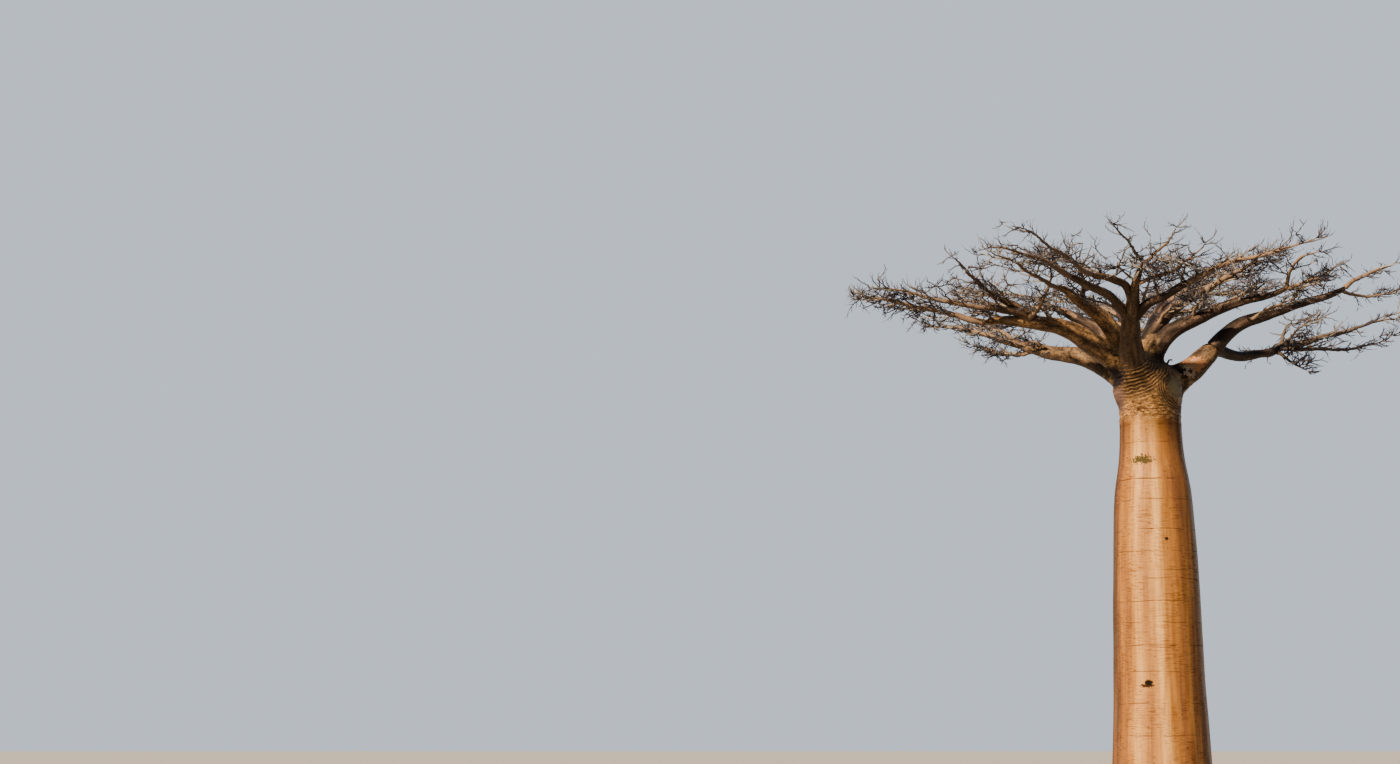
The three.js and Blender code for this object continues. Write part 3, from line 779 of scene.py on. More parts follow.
def has_room(line, radius, stem_place):
    """A twig stays nearer to its own stem than to any other, and clear of every limb."""
    points = np.vstack(((line[1:] + line[:-1]) / 2, line[1:]))
    gaps = gaps_to_limbs(points)
    own = np.maximum(gaps[:, stem_place], 0)
    others = np.delete(gaps[:, FIRST_STEM:], stem_place - FIRST_STEM, axis=1)
    clear_of_stems = (others > own[:, None] + 2 * radius + PASSING_GAP).all()
    return clear_of_stems and (gaps[:, :FIRST_STEM] > radius + PASSING_GAP).all()


def passes_limbs(line, radius, parent_place):
    """A side twig stays clear of every limb but its parent, and within the crown's reach."""
    points = line[1:]
    gaps = np.delete(gaps_to_limbs(points)[:, :FIRST_STEM], parent_place, axis=1)
    return (gaps > radius + PASSING_GAP).all() and in_open_air(points).all()


def roomy_twig(start, length, steps, radius, course, fits):
    """The longest of the lengths tried at which a twig has room, or nothing."""
    for share in LENGTHS_TRIED:
        line = walk(start, length * share, steps, course)
        if fits(line, radius):
            return line
    return None


def heading_at(line, share):
    towards = point_at(line, share + HEADING_REACH) - point_at(line, share - HEADING_REACH)
    return math.degrees(math.atan2(towards[1], towards[0]))


def spray_of(stem, line, number, fits):
    """One spray, which leaves the stem at a golden share of its way, on the side that has room."""
    draw = stream(f"{stem.name} spray {number}")
    share = between(SPRAY_SHARES, ((number + 1) * GOLDEN_SHARE) % 1)
    spread, climb, rise = (between(span, draw()) for span in (SPRAY_SPREAD, SPRAY_CLIMB, SPRAY_RISE))
    full_length = min(SPRAY_LONGEST, SPRAY_LENGTH_SHARE * stem.length * MM)
    length = full_length * between((1, SPRAY_TIP_SHARE), share)
    radius = max(SPRAY_THINNEST, SPRAY_RADIUS_SHARE * between(stem.girth, share) * MM)
    first_side = 1 if number % 2 else -1
    for side in (first_side, -first_side):
        heading = heading_at(line, share) + side * spread

        def course(way):
            return heading - side * SPRAY_BEND * way, climb + rise * way

        roomy = roomy_twig(point_at(line, share), length, 2, radius, course, fits)
        if roomy is not None:
            return roomy
    return None


def side_stems(limb):
    """Stems that leave a bough or limb to either side, by the rule that its sprays leave a stem."""
    first = SIDE_FROM_LIMB if limb.parent else SIDE_FROM_BOUGH
    count = max(1, round((1 - first) * limb.length * MM / SIDE_EVERY * limb.fullness))
    line = LINES[limb.name]
    place = STEM_PLACES[limb.name]
    stems = []
    for number in range(count):
        name = f"{limb.name} side {number}"
        draw = stream(name)
        share = first + (1 - first) * (number + draw()) / count
        side = 1 if number % 2 else -1
        heading = heading_at(line, min(share, SIDE_LAST)) + side * between(SIDE_SPREAD, draw())
        climb = tuple(between(span, draw()) for span in SIDE_CLIMB)
        length = between(SIDE_LENGTH, draw()) * (1.25 - 0.5 * share)
        girth = (SIDE_GIRTH_SHARE * between(limb.girth, share), SIDE_END_GIRTH)
        stem = Limb(name, limb.name, share, (heading, heading - SIDE_BEND * side), climb, 0, girth)

        def fits(twig, radius):
            return passes_limbs(twig, radius, place)

        course = course_of(stem)
        grown = roomy_twig(point_at(line, share), length, STEPS, SIDE_RADIUS, course, fits)
        if grown is not None:
            grown_length = np.linalg.norm(np.diff(grown, axis=0), axis=1).sum()
            stems.append((stem._replace(length=grown_length / MM), grown, fits))
    return stems


def crooked(line, count, chance, size):
    """A twig's line drawn with more points, each pushed a little to one side, as baobab twigs grow."""
    push = chance.uniform(-0.5, 0.5, (count, 3)) * size
    push[0] = 0
    return smooth_line(line, count) + push


def points_along(line, shares):
    places = np.clip(shares, 0, 1) * (len(line) - 1)
    return np.column_stack([np.interp(places, np.arange(len(line)), part) for part in line.T])


# Twigs before they are drawn, and once they are: a line's points, and the heading and climb of each step.
Twigs = namedtuple("Twigs", "starts headings climbs lengths tints")
DrawnTwigs = namedtuple("DrawnTwigs", "lines headings climbs side tints")


def joined(sets):
    return Twigs(*(np.concatenate(parts) for parts in zip(*sets)))


def picked(twigs, chosen):
    return type(twigs)(*(part[chosen] for part in twigs))


def branchlets_on(line, tint, chance):
    """Branchlets to either side along a stem or spray, mostly rising, and more that fork from its tip."""
    length = np.linalg.norm(np.diff(line, axis=0), axis=1).sum()
    along = max(2, round(length / BRANCHLET_EVERY))
    shares = BRANCHLET_FIRST + (1 - BRANCHLET_FIRST) * (np.arange(along) + chance.random(along)) / along
    shares = np.append(shares, np.ones(TIP_FORKS))
    count = along + TIP_FORKS
    ahead = points_along(line, shares + AHEAD) - points_along(line, shares - AHEAD)
    side = np.where(np.arange(count) % 2, 1, -1)
    onwards = np.degrees(np.arctan2(ahead[:, 1], ahead[:, 0]))
    headings = onwards + side * chance.uniform(*BRANCHLET_SPREAD, count)
    hanging = chance.random(count) < HANGING_SHARE
    climbs = np.where(hanging, chance.uniform(*HANGING_CLIMB, count), chance.uniform(*BRANCHLET_CLIMB, count))
    lengths = chance.uniform(*BRANCHLET_LENGTH, count) * (1.1 - 0.4 * shares)
    return Twigs(points_along(line, shares), headings, climbs, lengths, np.full(count, tint))


def kinked(twigs, kinks, chance):
    """Draws twigs that bend to and fro and turn upwards."""
    count = len(twigs.starts)
    steps, rise = kinks
    side = chance.choice((-1.0, 1.0), count)
    heading, climb = twigs.headings.copy(), twigs.climbs.copy()
    lines, headings, climbs = [twigs.starts], [], []
    for _ in range(steps):
        heading += side * KINK * chance.uniform(*KINK_SHARE, count)
        climb += rise / steps + chance.uniform(-CLIMB_STRAY, CLIMB_STRAY, count)
        side = -side
        headings.append(heading.copy())
        climbs.append(climb.copy())
        stride = twigs.lengths / steps * chance.uniform(*STRIDE_SHARE, count)
        lines.append(lines[-1] + step_towards(heading, climb) * stride[:, None])
    return DrawnTwigs(*(np.stack(rows, axis=1) for rows in (lines, headings, climbs)), side, twigs.tints)


def offshoots(twigs, places, span, chance):
    """Twigs that leave others at some of their kinks, each to the side away from the next bend."""
    count, steps = twigs.headings.shape
    made = []
    for place in places:
        last = min(place, steps - 1)
        turn = twigs.side * (1 if (steps - place) % 2 else -1)
        headings = twigs.headings[:, last] + turn * chance.uniform(*OFFSHOOT_SPREAD, count)
        climbs = twigs.climbs[:, last] + chance.uniform(*OFFSHOOT_CLIMB, count)
        made.append(Twigs(twigs.lines[:, place], headings, climbs, chance.uniform(*span, count), twigs.tints))
    return joined(made)


def twig_tubes(lines, girths, sides):
    """Joined tapering tubes for twigs of equally many points: vertices, and triangles for each twig.
    Each starts from a point sunk in its parent and ends in a point."""
    lines = np.asarray(lines)
    twigs, count, _ = lines.shape
    ahead = np.empty_like(lines)
    ahead[:, 1:-1] = lines[:, 2:] - lines[:, :-2]
    ahead[:, 0], ahead[:, -1] = lines[:, 1] - lines[:, 0], lines[:, -1] - lines[:, -2]
    ahead /= np.linalg.norm(ahead, axis=2, keepdims=True)
    right = np.cross(ahead, np.array((0.0, 0.0, 1.0)) + 1e-3)
    right /= np.linalg.norm(right, axis=2, keepdims=True)
    out = np.cross(right, ahead)
    turns = np.arange(sides) * 2 * math.pi / sides
    radii = np.broadcast_to(np.asarray(girths), (twigs, count))[:, :-1, None, None]
    ring = right[:, :-1, None] * np.cos(turns)[:, None] + out[:, :-1, None] * np.sin(turns)[:, None]
    rings = lines[:, :-1, None] + ring * radii
    root = lines[:, :1] - ahead[:, :1] * radii[:, :1, 0]
    verts = np.concatenate((root, rings.reshape(twigs, -1, 3), lines[:, -1:]), axis=1)
    faces = []
    for j in range(sides):
        k = (j + 1) % sides
        faces.append((0, 1 + j, 1 + k))
        for i in range(count - 2):
            low, high = 1 + i * sides, 1 + (i + 1) * sides
            faces += [(low + j, high + j, high + k), (low + j, high + k, low + k)]
        last = 1 + (count - 2) * sides
        faces.append((last + j, 1 + (count - 1) * sides, last + k))
    per_twig = verts.shape[1]
    offsets = np.arange(twigs)[:, None, None] * per_twig
    return verts.reshape(-1, 3), np.asarray(faces)[None] + offsets


class TwigMesh:
    """Gathers the tubes of one piece, each with its tint."""

    def __init__(self):
        self.verts, self.faces, self.tints, self.count = [], [], [], 0

    def add(self, lines, girths, sides, tints):
        if not len(lines):
            return
        verts, faces = twig_tubes(lines, girths, sides)
        self.verts.append(verts)
        self.faces.append(faces.reshape(-1, 3) + self.count)
        self.tints.append(np.repeat(np.asarray(tints), faces.shape[1]))
        self.count += len(verts)

    def piece(self, name, materials):
        mesh = bpy.data.meshes.new(name)
        mesh.from_pydata(np.vstack(self.verts), [], np.vstack(self.faces))
        for material in materials:
            mesh.materials.append(material)
        mesh.polygons.foreach_set("material_index", np.concatenate(self.tints).astype(np.int32))
        mesh.shade_smooth()
        mesh.update()
        return linked(mesh)


def stem_tube(mesh, stem, line, chance):
    """A stem's own tube, a little knotty, and the line that its shoots grow from."""
    points = max(STEM_POINTS, round(stem.length * MM / STEM_POINT_EVERY))
    drawn = crooked(line, points, chance, STEM_CROOK)
    radii = np.linspace(stem.girth[0], stem.girth[1], points) * MM * STEM_SLIMNESS
    tint = SHADED_STEM_TINT if stem.parent in SHADED_LIMBS else STEM_TINT
    mesh.add([drawn], [radii * chance.uniform(*STEM_KNOTS, points)], STEM_SIDES, [tint])
    return drawn


def thinned(ends, chance):
    """Whether each twig may grow, by where it ends: few do above the crown's dense part."""
    return ~above_crown(ends) | (chance.random(len(ends)) < ABOVE_SHARE)


def add_fine_twigs(mesh, strands, chance, spared=0):
    """Branchlets on every strand, twiglets at the branchlets' kinks and stubs on the twiglets.
    Those on the spared first strands also grow above the crown's dense part."""
    grown = [branchlets_on(line, tint, chance) for line, tint in strands]
    branchlets = kinked(joined(grown), BRANCHLET_KINKS, chance)
    middles, ends = branchlets.lines[:, 2], branchlets.lines[:, 5]
    kept = thinned(ends, chance)
    kept[: sum(len(twigs.starts) for twigs in grown[:spared])] = True
    branchlets = picked(branchlets, in_open_air(middles) & in_open_air(ends) & kept)
    mesh.add(branchlets.lines, BRANCHLET_GIRTH, BRANCHLET_SIDES, branchlets.tints)
    twiglets = kinked(offshoots(branchlets, (1, 2, 3, 4, 5), TWIGLET_LENGTH, chance), TWIGLET_KINKS, chance)
    kept = in_open_air(twiglets.lines[:, 2]) & (chance.random(len(twiglets.lines)) < TWIGLET_SHARE)
    twiglets = picked(twiglets, kept)
    mesh.add(twiglets.lines, TWIGLET_GIRTH, TWIGLET_SIDES, twiglets.tints)
    stubs = offshoots(twiglets, (1, 2), STUB_LENGTH, chance)
    stubs = kinked(picked(stubs, chance.random(len(stubs.starts)) < STUB_SHARE), STUB_KINKS, chance)
    mesh.add(stubs.lines, STUB_GIRTH, TWIGLET_SIDES, stubs.tints)


def add_sprays(mesh, lines, parent, chance):
    tints = SHADED_SPRAY_TINTS if parent in SHADED_LIMBS else SPRAY_TINTS
    mesh.add(lines, np.linspace(*SPRAY_GIRTH, SPRAY_POINTS), SPRAY_SIDES, chance.choice(tints, len(lines)))


def chance_of(name):
    return np.random.default_rng([ord(letter) for letter in name])


def make_mass(stem, materials):
    """The twigs of one mass: its stem, sprays by the source's rule, and finer twigs tinted by spray."""
    mesh = TwigMesh()
    chance = chance_of(stem.name)
    line = LINES[stem.name]

    def fits(twig, radius):
        return has_room(twig, radius, STEM_PLACES[stem.name])

    fullness = SPRAY_TIMES * stem.fullness
    count = max(FEWEST_SPRAYS, round(SPRAY_PER_METRE * stem.length * MM * fullness))
    sprays = [spray for number in range(count) if (spray := spray_of(stem, line, number, fits)) is not None]
    kept = thinned(np.array([spray[-1] for spray in sprays]), chance)
    sprays = [spray for spray, shown in zip(sprays, kept) if shown]
    strands = [(stem_tube(mesh, stem, line, chance), int(chance.choice(TWIG_TINTS)))]
    for spray in sprays:
        strands.append((crooked(spray, SPRAY_POINTS, chance, SPRAY_CROOK), int(chance.choice(TWIG_TINTS))))
    lines = [strand for strand, _ in strands[1:]]
    add_sprays(mesh, lines, stem.parent, chance)
    add_fine_twigs(mesh, strands, chance, spared=1)
    return mesh.piece(stem.name.replace("_twigs", "_fine_twigs"), materials)


def make_side_twigs(limb, materials):
    """The side stems of a bough or limb with their sprays and finer twigs."""
    mesh = TwigMesh()
    chance = chance_of(limb.name + " side twigs")
    strands, sprays, tints = [], [], []
    for stem, line, fits in side_stems(limb):
        strands.append((stem_tube(mesh, stem, line, chance), int(chance.choice(TWIG_TINTS))))
        for number in range(round(SIDE_SPRAY_PER_METRE * stem.length * MM)):
            spray = spray_of(stem, line, number, fits)
            if spray is not None and thinned(spray[-1:], chance)[0]:
                sprays.append(crooked(spray, SPRAY_POINTS, chance, SPRAY_CROOK))
                tints.append(int(chance.choice(TWIG_TINTS)))
    add_sprays(mesh, sprays, limb.name, chance)
    add_fine_twigs(mesh, strands + list(zip(sprays, tints)), chance)
    return mesh.piece(limb.name + "_side_twigs", materials)


# Materials.
def linear(colour):
    """An sRGB hex colour as the linear values that Blender takes."""
    parts = [int(colour[i : i + 2], 16) / 255 for i in (1, 3, 5)]
    return [p / 12.92 if p <= 0.04045 else ((p + 0.055) / 1.055) ** 2.4 for p in parts] + [1]


def add_node(tree, kind, inputs=None, stops=None, **settings):
    """Adds a node, with its settings, its inputs' values or links, and a ramp's stops.
    A node given as an input is linked by its first output in use."""
    node = tree.nodes.new("ShaderNode" + kind)
    for name, value in settings.items():
        setattr(node, name, value)
    for name, value in (inputs or {}).items():
        socket = node.inputs[name]
        if isinstance(value, bpy.types.Node):
            value = next(output for output in value.outputs if output.enabled)
        if isinstance(value, bpy.types.NodeSocket):
            tree.links.new(value, socket)
        else:
            socket.default_value = linear(value) if isinstance(value, str) else value
    for i, (place, colour) in enumerate(stops or ()):
        elements = node.color_ramp.elements
        element = elements[i] if i < 2 else elements.new(place)
        element.position = place
        element.color = linear(colour)
    return node


# Bark reflects less than a smooth coat of resin would, and its wax warms what it reflects.
BARK_GLOSS = 0.23
BARK_WAX = "#ffe4c4"
TINTED = {"data_type": "RGBA", "blend_type": "MULTIPLY"}
# The inputs at which a mix of colours takes its share, the colour under it and the colour over it.
SHARE, UNDER, OVER = 0, 6, 7


def new_material(name):
    material = bpy.data.materials.new(name)
    material.use_nodes = True
    material.node_tree.nodes.clear()
    return material, material.node_tree


def finish_material(tree, colour, roughness, height=None, bump=0.3, distance=0.02):
    inputs = {"Base Color": colour, "Roughness": roughness, "Specular IOR Level": BARK_GLOSS}
    inputs["Specular Tint"] = BARK_WAX
    if height is not None:
        inputs["Normal"] = add_node(tree, "Bump", {"Strength": bump, "Distance": distance, "Height": height})
    shader = add_node(tree, "BsdfPrincipled", inputs)
    add_node(tree, "OutputMaterial", {"Surface": shader})


def inked(tree, colour, pattern, share, stops):
    """A colour darkened where a pattern is low: ink at the first stop, and none at the last."""
    ink = add_node(tree, "ValToRGB", {"Fac": pattern}, stops)
    return add_node(tree, "Mix", {SHARE: share, UNDER: colour, OVER: ink}, **TINTED)


def bough_colours(tree, place, tones, darker=0.0):
    """Bough bark in long patches, with short dark cracks across: the colour and the height of its relief."""
    pale, mid, olive, dark = tones
    along = add_node(tree, "Mapping", {"Vector": place, "Scale": (1.0, 1.0, 0.4)})
    patches = add_node(tree, "TexNoise", {"Vector": along, "Scale": 2.8, "Detail": 5.0, "Roughness": 0.62})
    stops = ((0.36 + darker, dark), (0.62 + darker, pale), (0.44 + darker, olive), (0.52 + darker, mid))
    skin = add_node(tree, "ValToRGB", {"Fac": patches}, stops)
    # Cracks about 2 cm wide and a hand long that run across the bough.
    across = add_node(tree, "Mapping", {"Vector": place, "Scale": (1.0, 1.0, 5.0)})
    cracks = add_node(tree, "TexNoise", {"Vector": across, "Scale": 3.6, "Detail": 4.0, "Roughness": 0.6})
    cracked = inked(tree, skin, cracks, 0.8, ((0.37, "#4a3526"), (0.46, "#ffffff")))
    mottle = add_node(tree, "TexNoise", {"Vector": place, "Scale": 11.0, "Detail": 4.0, "Roughness": 0.6})
    colour = inked(tree, cracked, mottle, 0.85, ((0.35, "#a3968a"), (0.58, "#ffffff")))
    return colour, add_node(tree, "Math", {0: cracks, 1: 0.8, 2: mottle}, operation="MULTIPLY_ADD")


def trunk_bark():
    """Living baobab bark: a thin, smooth, faintly waxy copper skin that the sun gives a soft sheen, with
    painted sheen and shade in its streaks.
    """
    material, tree = new_material("copper_trunk_bark")
    place = add_node(tree, "TexCoord").outputs["Object"]
    drawn_out = add_node(tree, "Mapping", {"Vector": place, "Scale": (1.0, 1.0, 0.05)})
    # Streaks a foot or two wide that run the height of the trunk, with finer ones a few centimetres wide.
    # On the side that faces the camera the wide ones carry painted shade and a painted sheen, and the darkest
    # stop, mauve, is the painted shade of its left edge.
    tone = add_node(tree, "Attribute", attribute_name="tone").outputs["Fac"]
    pale = add_node(tree, "Math", {0: tone, 1: 0.4, 2: 0.45}, operation="MULTIPLY_ADD")
    stops = ((0.0, "#54402e"), (0.9, "#cc9f61"), (0.13, "#7a502e"), (0.36, "#9a6a30"), (0.62, "#b38446"))
    skin = add_node(tree, "ValToRGB", {"Fac": pale}, stops)
    fine = add_node(tree, "TexNoise", {"Vector": drawn_out, "Scale": 9.0, "Detail": 4.0, "Roughness": 0.6})
    streaked = inked(tree, skin, fine, 0.8, ((0.36, "#d9c8b6"), (0.6, "#ffffff")))
    # Ring lines a little over a centimetre wide, broken along their way.
    warp = add_node(tree, "TexNoise", {"Vector": place, "Scale": 0.8, "Detail": 2.0})
    height = add_node(tree, "SeparateXYZ", {"Vector": place}).outputs["Z"]
    bent = add_node(tree, "Math", {0: warp, 1: 0.2, 2: height}, operation="MULTIPLY_ADD")
    on_ring = 0.0
    for ring, *_ in RINGS:
        # The warp lifts a line by 0.1 m on average.
        here = add_node(tree, "Math", {0: bent, 1: ring + 0.1, 2: RING_GIRTH}, operation="COMPARE")
        on_ring = add_node(tree, "Math", {0: on_ring, 1: here}, operation="MAXIMUM")
    broken = add_node(tree, "TexNoise", {"Vector": place, "Scale": 1.6, "Detail": 3.0})
    kept = add_node(tree, "ValToRGB", {"Fac": broken}, ((0.42, "#000000"), (0.54, "#e4e4e4")))
    ring_ink = add_node(tree, "Math", {0: on_ring, 1: kept}, operation="MULTIPLY")
    # Short level scratches 1 to 2 cm high and a hand or two long, in patches.
    flat = add_node(tree, "Mapping", {"Vector": place, "Scale": (1.0, 1.0, 13.0)})
    dashes = add_node(tree, "TexNoise", {"Vector": flat, "Scale": 3.6, "Detail": 3.0, "Roughness": 0.6})
    patches = add_node(tree, "TexNoise", {"Vector": place, "Scale": 0.7, "Detail": 2.0})
    where = add_node(tree, "ValToRGB", {"Fac": patches}, ((0.36, "#404040"), (0.58, "#d8d8d8")))
    scratched = inked(tree, streaked, dashes, where, ((0.37, "#64391a"), (0.5, "#ffffff")))
    # Dark pores 2 to 3 cm across, a few to the square metre.
    pores = add_node(tree, "TexVoronoi", {"Vector": place, "Scale": 3.1, "Randomness": 1.0})
    colour = inked(tree, scratched, pores, 0.7, ((0.06, "#3c2413"), (0.11, "#ffffff")))
    for turn, high, size, ragged, ink in MARKS:
        radius = float(trunk_profile(np.array([high]))[0])
        angle = math.radians(turn)
        spot = (math.cos(angle) * radius, math.sin(angle) * radius, high)
        colour = marked(tree, place, colour, spot, size, ragged, ink)
    # The bark dulls towards the neck.
    to_neck = {"Value": height, "From Min": 11.8, "From Max": 13.6}
    dull = add_node(tree, "MapRange", to_neck)
    colour = add_node(tree, "Mix", {SHARE: dull, UNDER: colour, OVER: "#cec8bb"}, **TINTED)
    old, grain = neck_colours(tree, place, height)
    # The noise lifts the neck's edge by 0.4 m on average.
    edge = add_node(tree, "Math", {0: broken, 1: 0.8, 2: height}, operation="MULTIPLY_ADD")
    in_neck = {"Value": edge, "From Min": 13.6, "From Max": 14.1}
    neck = add_node(tree, "MapRange", in_neck, interpolation_type="SMOOTHSTEP")
    blended = add_node(tree, "Mix", {SHARE: neck, UNDER: colour, OVER: old}, data_type="RGBA")
    colour = add_node(tree, "Mix", {SHARE: ring_ink, UNDER: blended, OVER: "#4a2812"}, data_type="RGBA")
    relief = add_node(tree, "Math", {0: dashes, 1: 0.5, 2: grain}, operation="MULTIPLY_ADD")
    # Dark bark is dull: dead bark has lost its wax, and the painted shade and shadow are made dull with it.
    waxy = {"Value": colour, "From Min": 0.02, "From Max": 0.14, "To Min": 0.95, "To Max": 0.43}
    dullness = add_node(tree, "MapRange", waxy)
    finish_material(tree, colour, dullness, relief, 0.2, 0.02)
    return material


def neck_colours(tree, place, height):
    """The older bark of the neck: golden crumples, rolls lined partly with painted highlight and shade,
    patches of smooth bark, and painted shade and a painted shadow.
    """
    bough, grain = bough_colours(tree, place, NECK_TONES)
    # Crumples a hand wide and a few centimetres high.
    flat = add_node(tree, "Mapping", {"Vector": place, "Scale": (1.0, 1.0, 2.4)})
    crumples = add_node(tree, "TexNoise", {"Vector": flat, "Scale": 6.5, "Detail": 3.0, "Distortion": 0.6})
    stops = ((0.36, "#482f17"), (0.66, "#bd9259"), (0.5, "#7e5a31"))
    golden = add_node(tree, "ValToRGB", {"Fac": crumples}, stops)
    on_band = {"Value": height, "From Min": 14.5, "From Max": 14.0}
    band = add_node(tree, "MapRange", on_band, interpolation_type="SMOOTHSTEP")
    colour = add_node(tree, "Mix", {SHARE: band, UNDER: bough, OVER: golden}, data_type="RGBA")
    rough = add_node(tree, "TexNoise", {"Vector": place, "Scale": 4.5, "Detail": 4.0})
    crumple_break = add_node(tree, "ValToRGB", {"Fac": crumples}, ((0.36, "#a0a0a0"), (0.5, "#ffffff")))
    for name in ROLL_NAMES:
        roll = add_node(tree, "Attribute", attribute_name=name).outputs["Vector"]
        parts = add_node(tree, "SeparateXYZ", {"Vector": roll}).outputs
        way = add_node(tree, "Math", {0: rough, 1: 1.6, 2: parts["X"]}, operation="MULTIPLY_ADD")
        # The noise pushes a crest on by 0.8 of a roll on average.
        crest = add_node(tree, "Math", {0: way, 1: -0.8}, operation="ADD")
        across = add_node(tree, "Math", {0: crest}, operation="FRACT")
        # Pale crests and dark creases over the modelled rolls: partly the bark's colour, partly painted
        # highlight and shade.
        stops = ((0.0, "#a98556"), (1.0, "#a98556"), (0.16, "#62482b"), (0.5, "#372717"), (0.84, "#62482b"))
        crest_highlight_and_crease_shade = add_node(tree, "ValToRGB", {"Fac": across}, stops)
        shown = add_node(tree, "Math", {0: parts["Y"], 1: crumple_break}, operation="MULTIPLY")
        colour = add_node(tree, "Mix", {SHARE: shown, UNDER: colour, OVER: crest_highlight_and_crease_shade}, data_type="RGBA")
    # The patches paint shade on the neck's left side and a shadow under the low left bough.
    for patch in NECK_PATCHES_AND_PAINTED_SHADE + TORN_BARK:
        colour = marked(tree, place, colour, *patch)
    # The roots of the right boughs are darkened and tinted blue-grey: painted shade.
    sides = add_node(tree, "SeparateXYZ", {"Vector": place}).outputs
    right = add_node(tree, "MapRange", {"Value": sides["X"], "From Min": -0.2, "From Max": 0.2})
    high = add_node(tree, "MapRange", {"Value": height, "From Min": 14.9, "From Max": 15.3})
    painted_shade = add_node(tree, "Math", {0: right, 1: high}, operation="MULTIPLY")
    return add_node(tree, "Mix", {SHARE: painted_shade, UNDER: colour, OVER: "#b3bbd9"}, **TINTED), grain


def marked(tree, place, colour, spot, size, ragged, ink):
    """A mark in the front of the bark at a spot, with a ragged edge."""
    reach = (1 / size[0], 1 / MARK_DEPTH, 1 / size[1])
    to_spot = {"Vector": place, "Location": [-s * r for s, r in zip(spot, reach)], "Scale": reach}
    near = add_node(tree, "Mapping", to_spot)
    away = add_node(tree, "VectorMath", {0: near}, operation="LENGTH")
    rough = add_node(tree, "TexNoise", {"Vector": place, "Scale": 14.0, "Detail": 4.0})
    wavy = add_node(tree, "Math", {0: rough, 1: ragged, 2: away}, operation="MULTIPLY_ADD")
    # The noise adds half its raggedness on average.
    mean = 0.5 * ragged
    spread = {"Value": wavy, "From Min": 0.5 + mean, "From Max": 0.9 + mean, "To Min": 1, "To Max": 0}
    inside = add_node(tree, "MapRange", spread, interpolation_type="SMOOTHSTEP")
    return add_node(tree, "Mix", {SHARE: inside, UNDER: colour, OVER: ink}, data_type="RGBA")


# Pale, mid, olive and dark tones of each bark.
NECK_TONES = ("#9a7c52", "#7d613d", "#5b4830", "#382b1f")
# The left boughs' golden bark is paler than their own bark: partly its colour, partly painted sunlight.
GOLDEN_AND_PAINTED_SUN_TONES = ("#b8925f", "#8a6b48", "#5c4832", "#2a2119")
LIMB_TONES = ("#7b6448", "#604c37", "#47382a", "#291f18")
# A darker copy of the bough bark, with more of its area dark, is painted shade on the back and right boughs
# and limbs.
PAINTED_SHADE_TONES = ("#745e4e", "#4e3e34", "#302622", "#151110")
BROWN_BOUGHS = ("front_bough", "low_left_bough", "right_bough")
PAINTED_SHADE_LIMBS = (
    "back_bough", "back_left_bough", "back_right_bough", "right_mid_bough", "right_high_bough",
    "front_right_limb", "right_upper_limb", "right_lower_limb",
)


def bough_bark(name, tones, darker=0.0):
    """Older bark on the boughs: golden tan to orange-brown, dull, and cracked across in dark patches."""
    material, tree = new_material(name)
    place = add_node(tree, "Attribute", attribute_name="straightened").outputs["Vector"]
    colour, grain = bough_colours(tree, place, tones, darker)
    here = add_node(tree, "TexCoord").outputs["Object"]
    # The neck's patches, with their painted shade and shadow, carry on onto the boughs.
    for patch in NECK_PATCHES_AND_PAINTED_SHADE + TORN_BARK:
        colour = marked(tree, here, colour, *patch)
    finish_material(tree, colour, 0.58, grain, 0.45, 0.02)
    return material


def twig_bark(name, colour):
    """Young bark on twigs, dull and of one colour, with a faint grain."""
    material, tree = new_material(name)
    place = add_node(tree, "TexCoord").outputs["Object"]
    grain = add_node(tree, "TexNoise", {"Vector": place, "Scale": 30.0, "Detail": 2.0})
    finish_material(tree, colour, 0.7, grain, 0.2, 0.01)
    return material


TWIG_COLOURS = (
    ("stem_golden_brown", "#75604c"),
    ("spray_tan", "#7d7266"),
    ("spray_straw", "#928a7a"),
    ("spray_brown", "#5a4e42"),
    ("twig_grey_brown", "#5a585a"),
    ("twig_slate", "#3c3e48"),
    ("twig_purple_brown", "#4d474c"),
    ("twig_dark_brown", "#322e2e"),
    ("twig_tan", "#777068"),
)
STEM_TINT = 0
HOOK_TINT = 7
SPRAY_TINTS = (1, 1, 2, 3)
# The sprays low on the right stand in the crown's shade and are darker.
SHADED_LIMBS = ("right_lower_limb",)
SHADED_STEM_TINT = 3
SHADED_SPRAY_TINTS = (3, 3, 7, 4)
TWIG_TINTS = (4, 4, 5, 6, 7, 8)


def dress(piece, material, slot, *nodes):
    piece.data.materials.clear()
    piece.data.materials.append(material)
    piece.data.shade_smooth()
    take_over(piece, slot, *nodes)


def take_over(piece, slot, *nodes):
    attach(piece, "root")
    if nodes:
        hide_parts(*nodes)


# A dead twig on the head's right shoulder, bent like a hook.
HOOK = (
    (0.58, -0.4, 15.15), (0.63, -0.46, 15.43), (0.7, -0.48, 15.56), (0.79, -0.47, 15.58), (0.84, -0.46, 15.5),
)
HOOK_GIRTH = (0.05, 0.045, 0.038, 0.03, 0.02)
HOOK_SIDES = 6


def make_hook(materials):
    mesh = TwigMesh()
    mesh.add([np.array(HOOK)], HOOK_GIRTH, HOOK_SIDES, [HOOK_TINT])
    return mesh.piece("head_hook_twig", materials)


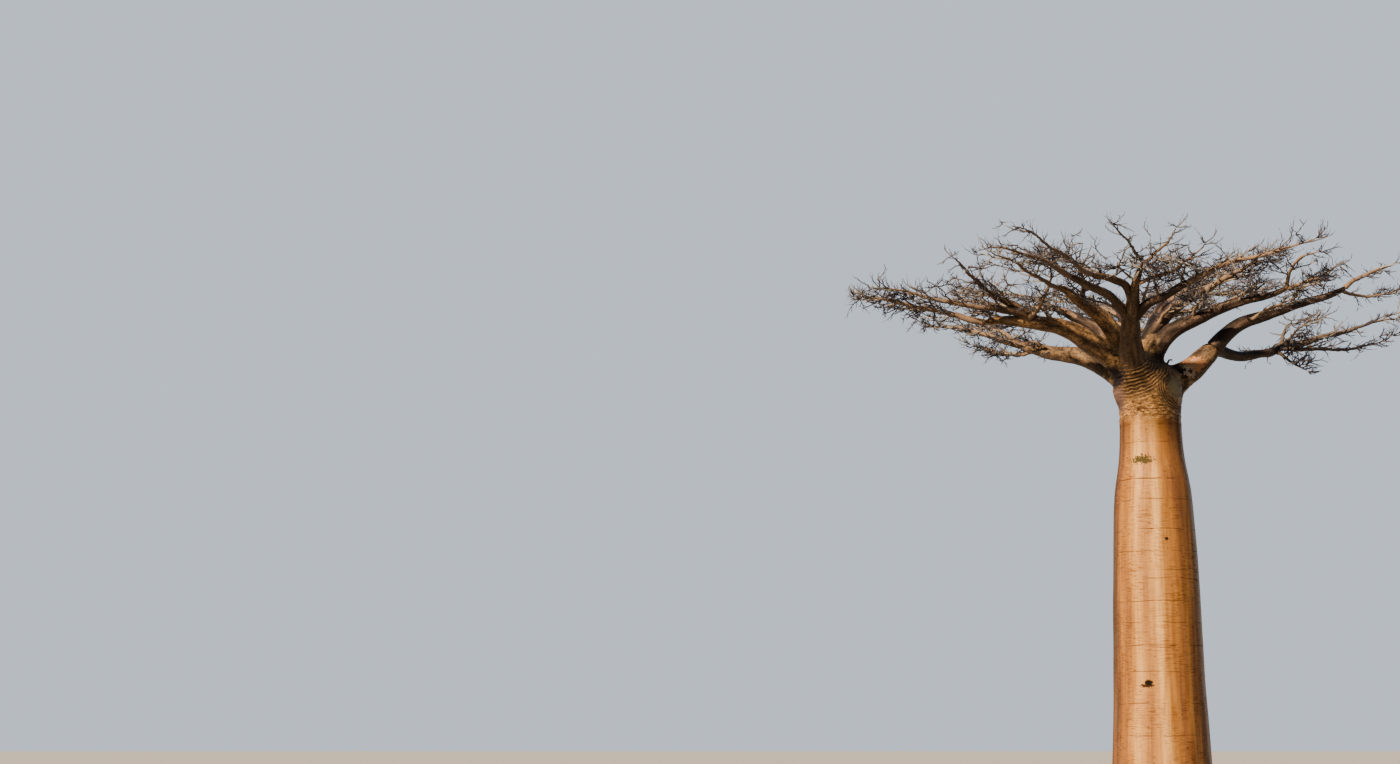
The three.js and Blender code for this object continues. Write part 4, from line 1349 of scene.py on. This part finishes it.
def make_tree():
    dress(make_trunk(), trunk_bark(), "trunk_bark", "trunk")
    # The darker copy of the bough bark is painted shade.
    painted_shade = bough_bark("dusky_bough_bark", PAINTED_SHADE_TONES, 0.08)
    # Golden bark for the left boughs, partly painted sunlight.
    golden = bough_bark("golden_bough_bark", GOLDEN_AND_PAINTED_SUN_TONES)
    brown = bough_bark("brown_limb_bark", LIMB_TONES)
    barks = {limb.name: golden for limb in BOUGHS} | {limb.name: brown for limb in LIMBS}
    barks |= dict.fromkeys(BROWN_BOUGHS, brown) | dict.fromkeys(PAINTED_SHADE_LIMBS, painted_shade)
    for limbs, sides, slot in ((BOUGHS, BOUGH_SIDES, "bough_bark"), (LIMBS, LIMB_SIDES, "limb_bark")):
        for limb in limbs:
            dress(make_bough(limb, sides), barks[limb.name], slot, limb.name)
    tints = [twig_bark(name, colour) for name, colour in TWIG_COLOURS]
    for stem in STEMS:
        take_over(make_mass(stem, tints), "twigs", stem.name)
    for limb in BOUGHS + LIMBS:
        if limb.name not in BARE_BOUGHS:
            take_over(make_side_twigs(limb, tints), "twigs")
    take_over(make_hook(tints), "twigs")


# Studio: a pale floor, a warm soft key light from the front left, and a room that is paler behind the tree.
KEY_FROM = (-6.3, -6.2, 4.7)
FLOOR_SIZE = 3000
FLOOR_DROP = 0.01


def make_studio():
    bm = bmesh.new()
    bmesh.ops.create_grid(bm, x_segments=1, y_segments=1, size=FLOOR_SIZE)
    floor = piece_of("studio_floor", bm)
    floor.data.transform(Matrix.Translation((0, 0, -FLOOR_DROP)))
    floor.visible_diffuse = False
    material, tree = new_material("pale_matt_floor")
    finish_material(tree, "#a8a49d", 0.9)
    floor.data.materials.append(material)
    key = bpy.data.lights.new("key_light", "SUN")
    key.energy = 13.5
    key.angle = math.radians(2.5)
    key.color = linear("#ffe3c0")[:3]
    lamp = bpy.data.objects.new("key_light", key)
    lamp.rotation_euler = (-Vector(KEY_FROM)).to_track_quat("-Z", "Y").to_euler()
    bpy.context.scene.collection.objects.link(lamp)
    bpy.context.scene.world = pale_room()


def pale_room():
    """Soft light from all round: a warm half below, and above it a half that is paler at the back."""
    world = bpy.data.worlds.new("pale_room")
    world.use_nodes = True
    tree = world.node_tree
    tree.nodes.clear()
    way = add_node(tree, "SeparateXYZ", {"Vector": add_node(tree, "TexCoord").outputs["Generated"]})
    to_back = {"Value": way.outputs["Y"], "From Min": 0.45, "From Max": 0.92}
    back = add_node(tree, "MapRange", to_back, interpolation_type="SMOOTHSTEP")
    above = add_node(tree, "Mix", {SHARE: back, UNDER: "#7c8a9f", OVER: "#c2ccd8"}, data_type="RGBA")
    upwards = {"Value": way.outputs["Z"], "From Min": -0.03, "From Max": 0.0}
    up = add_node(tree, "MapRange", upwards)
    colour = add_node(tree, "Mix", {SHARE: up, UNDER: "#857b72", OVER: above}, data_type="RGBA")
    light = add_node(tree, "Background", {"Color": colour, "Strength": 1.25})
    add_node(tree, "OutputWorld", {"Surface": light})
    return world


# Camera: eye height, far back and looking up a little, with the tree in the right of the frame.
def make_camera():
    lens = bpy.data.cameras.new("camera")
    lens.lens = LENS
    lens.sensor_width = FILM
    lens.clip_end = 5000
    camera = bpy.data.objects.new("camera", lens)
    camera.location = EYE
    camera.rotation_euler = (math.radians(90 + TILT), 0, 0)
    bpy.context.scene.collection.objects.link(camera)
    bpy.context.scene.camera = camera


make_camera()
make_studio()
make_tree()
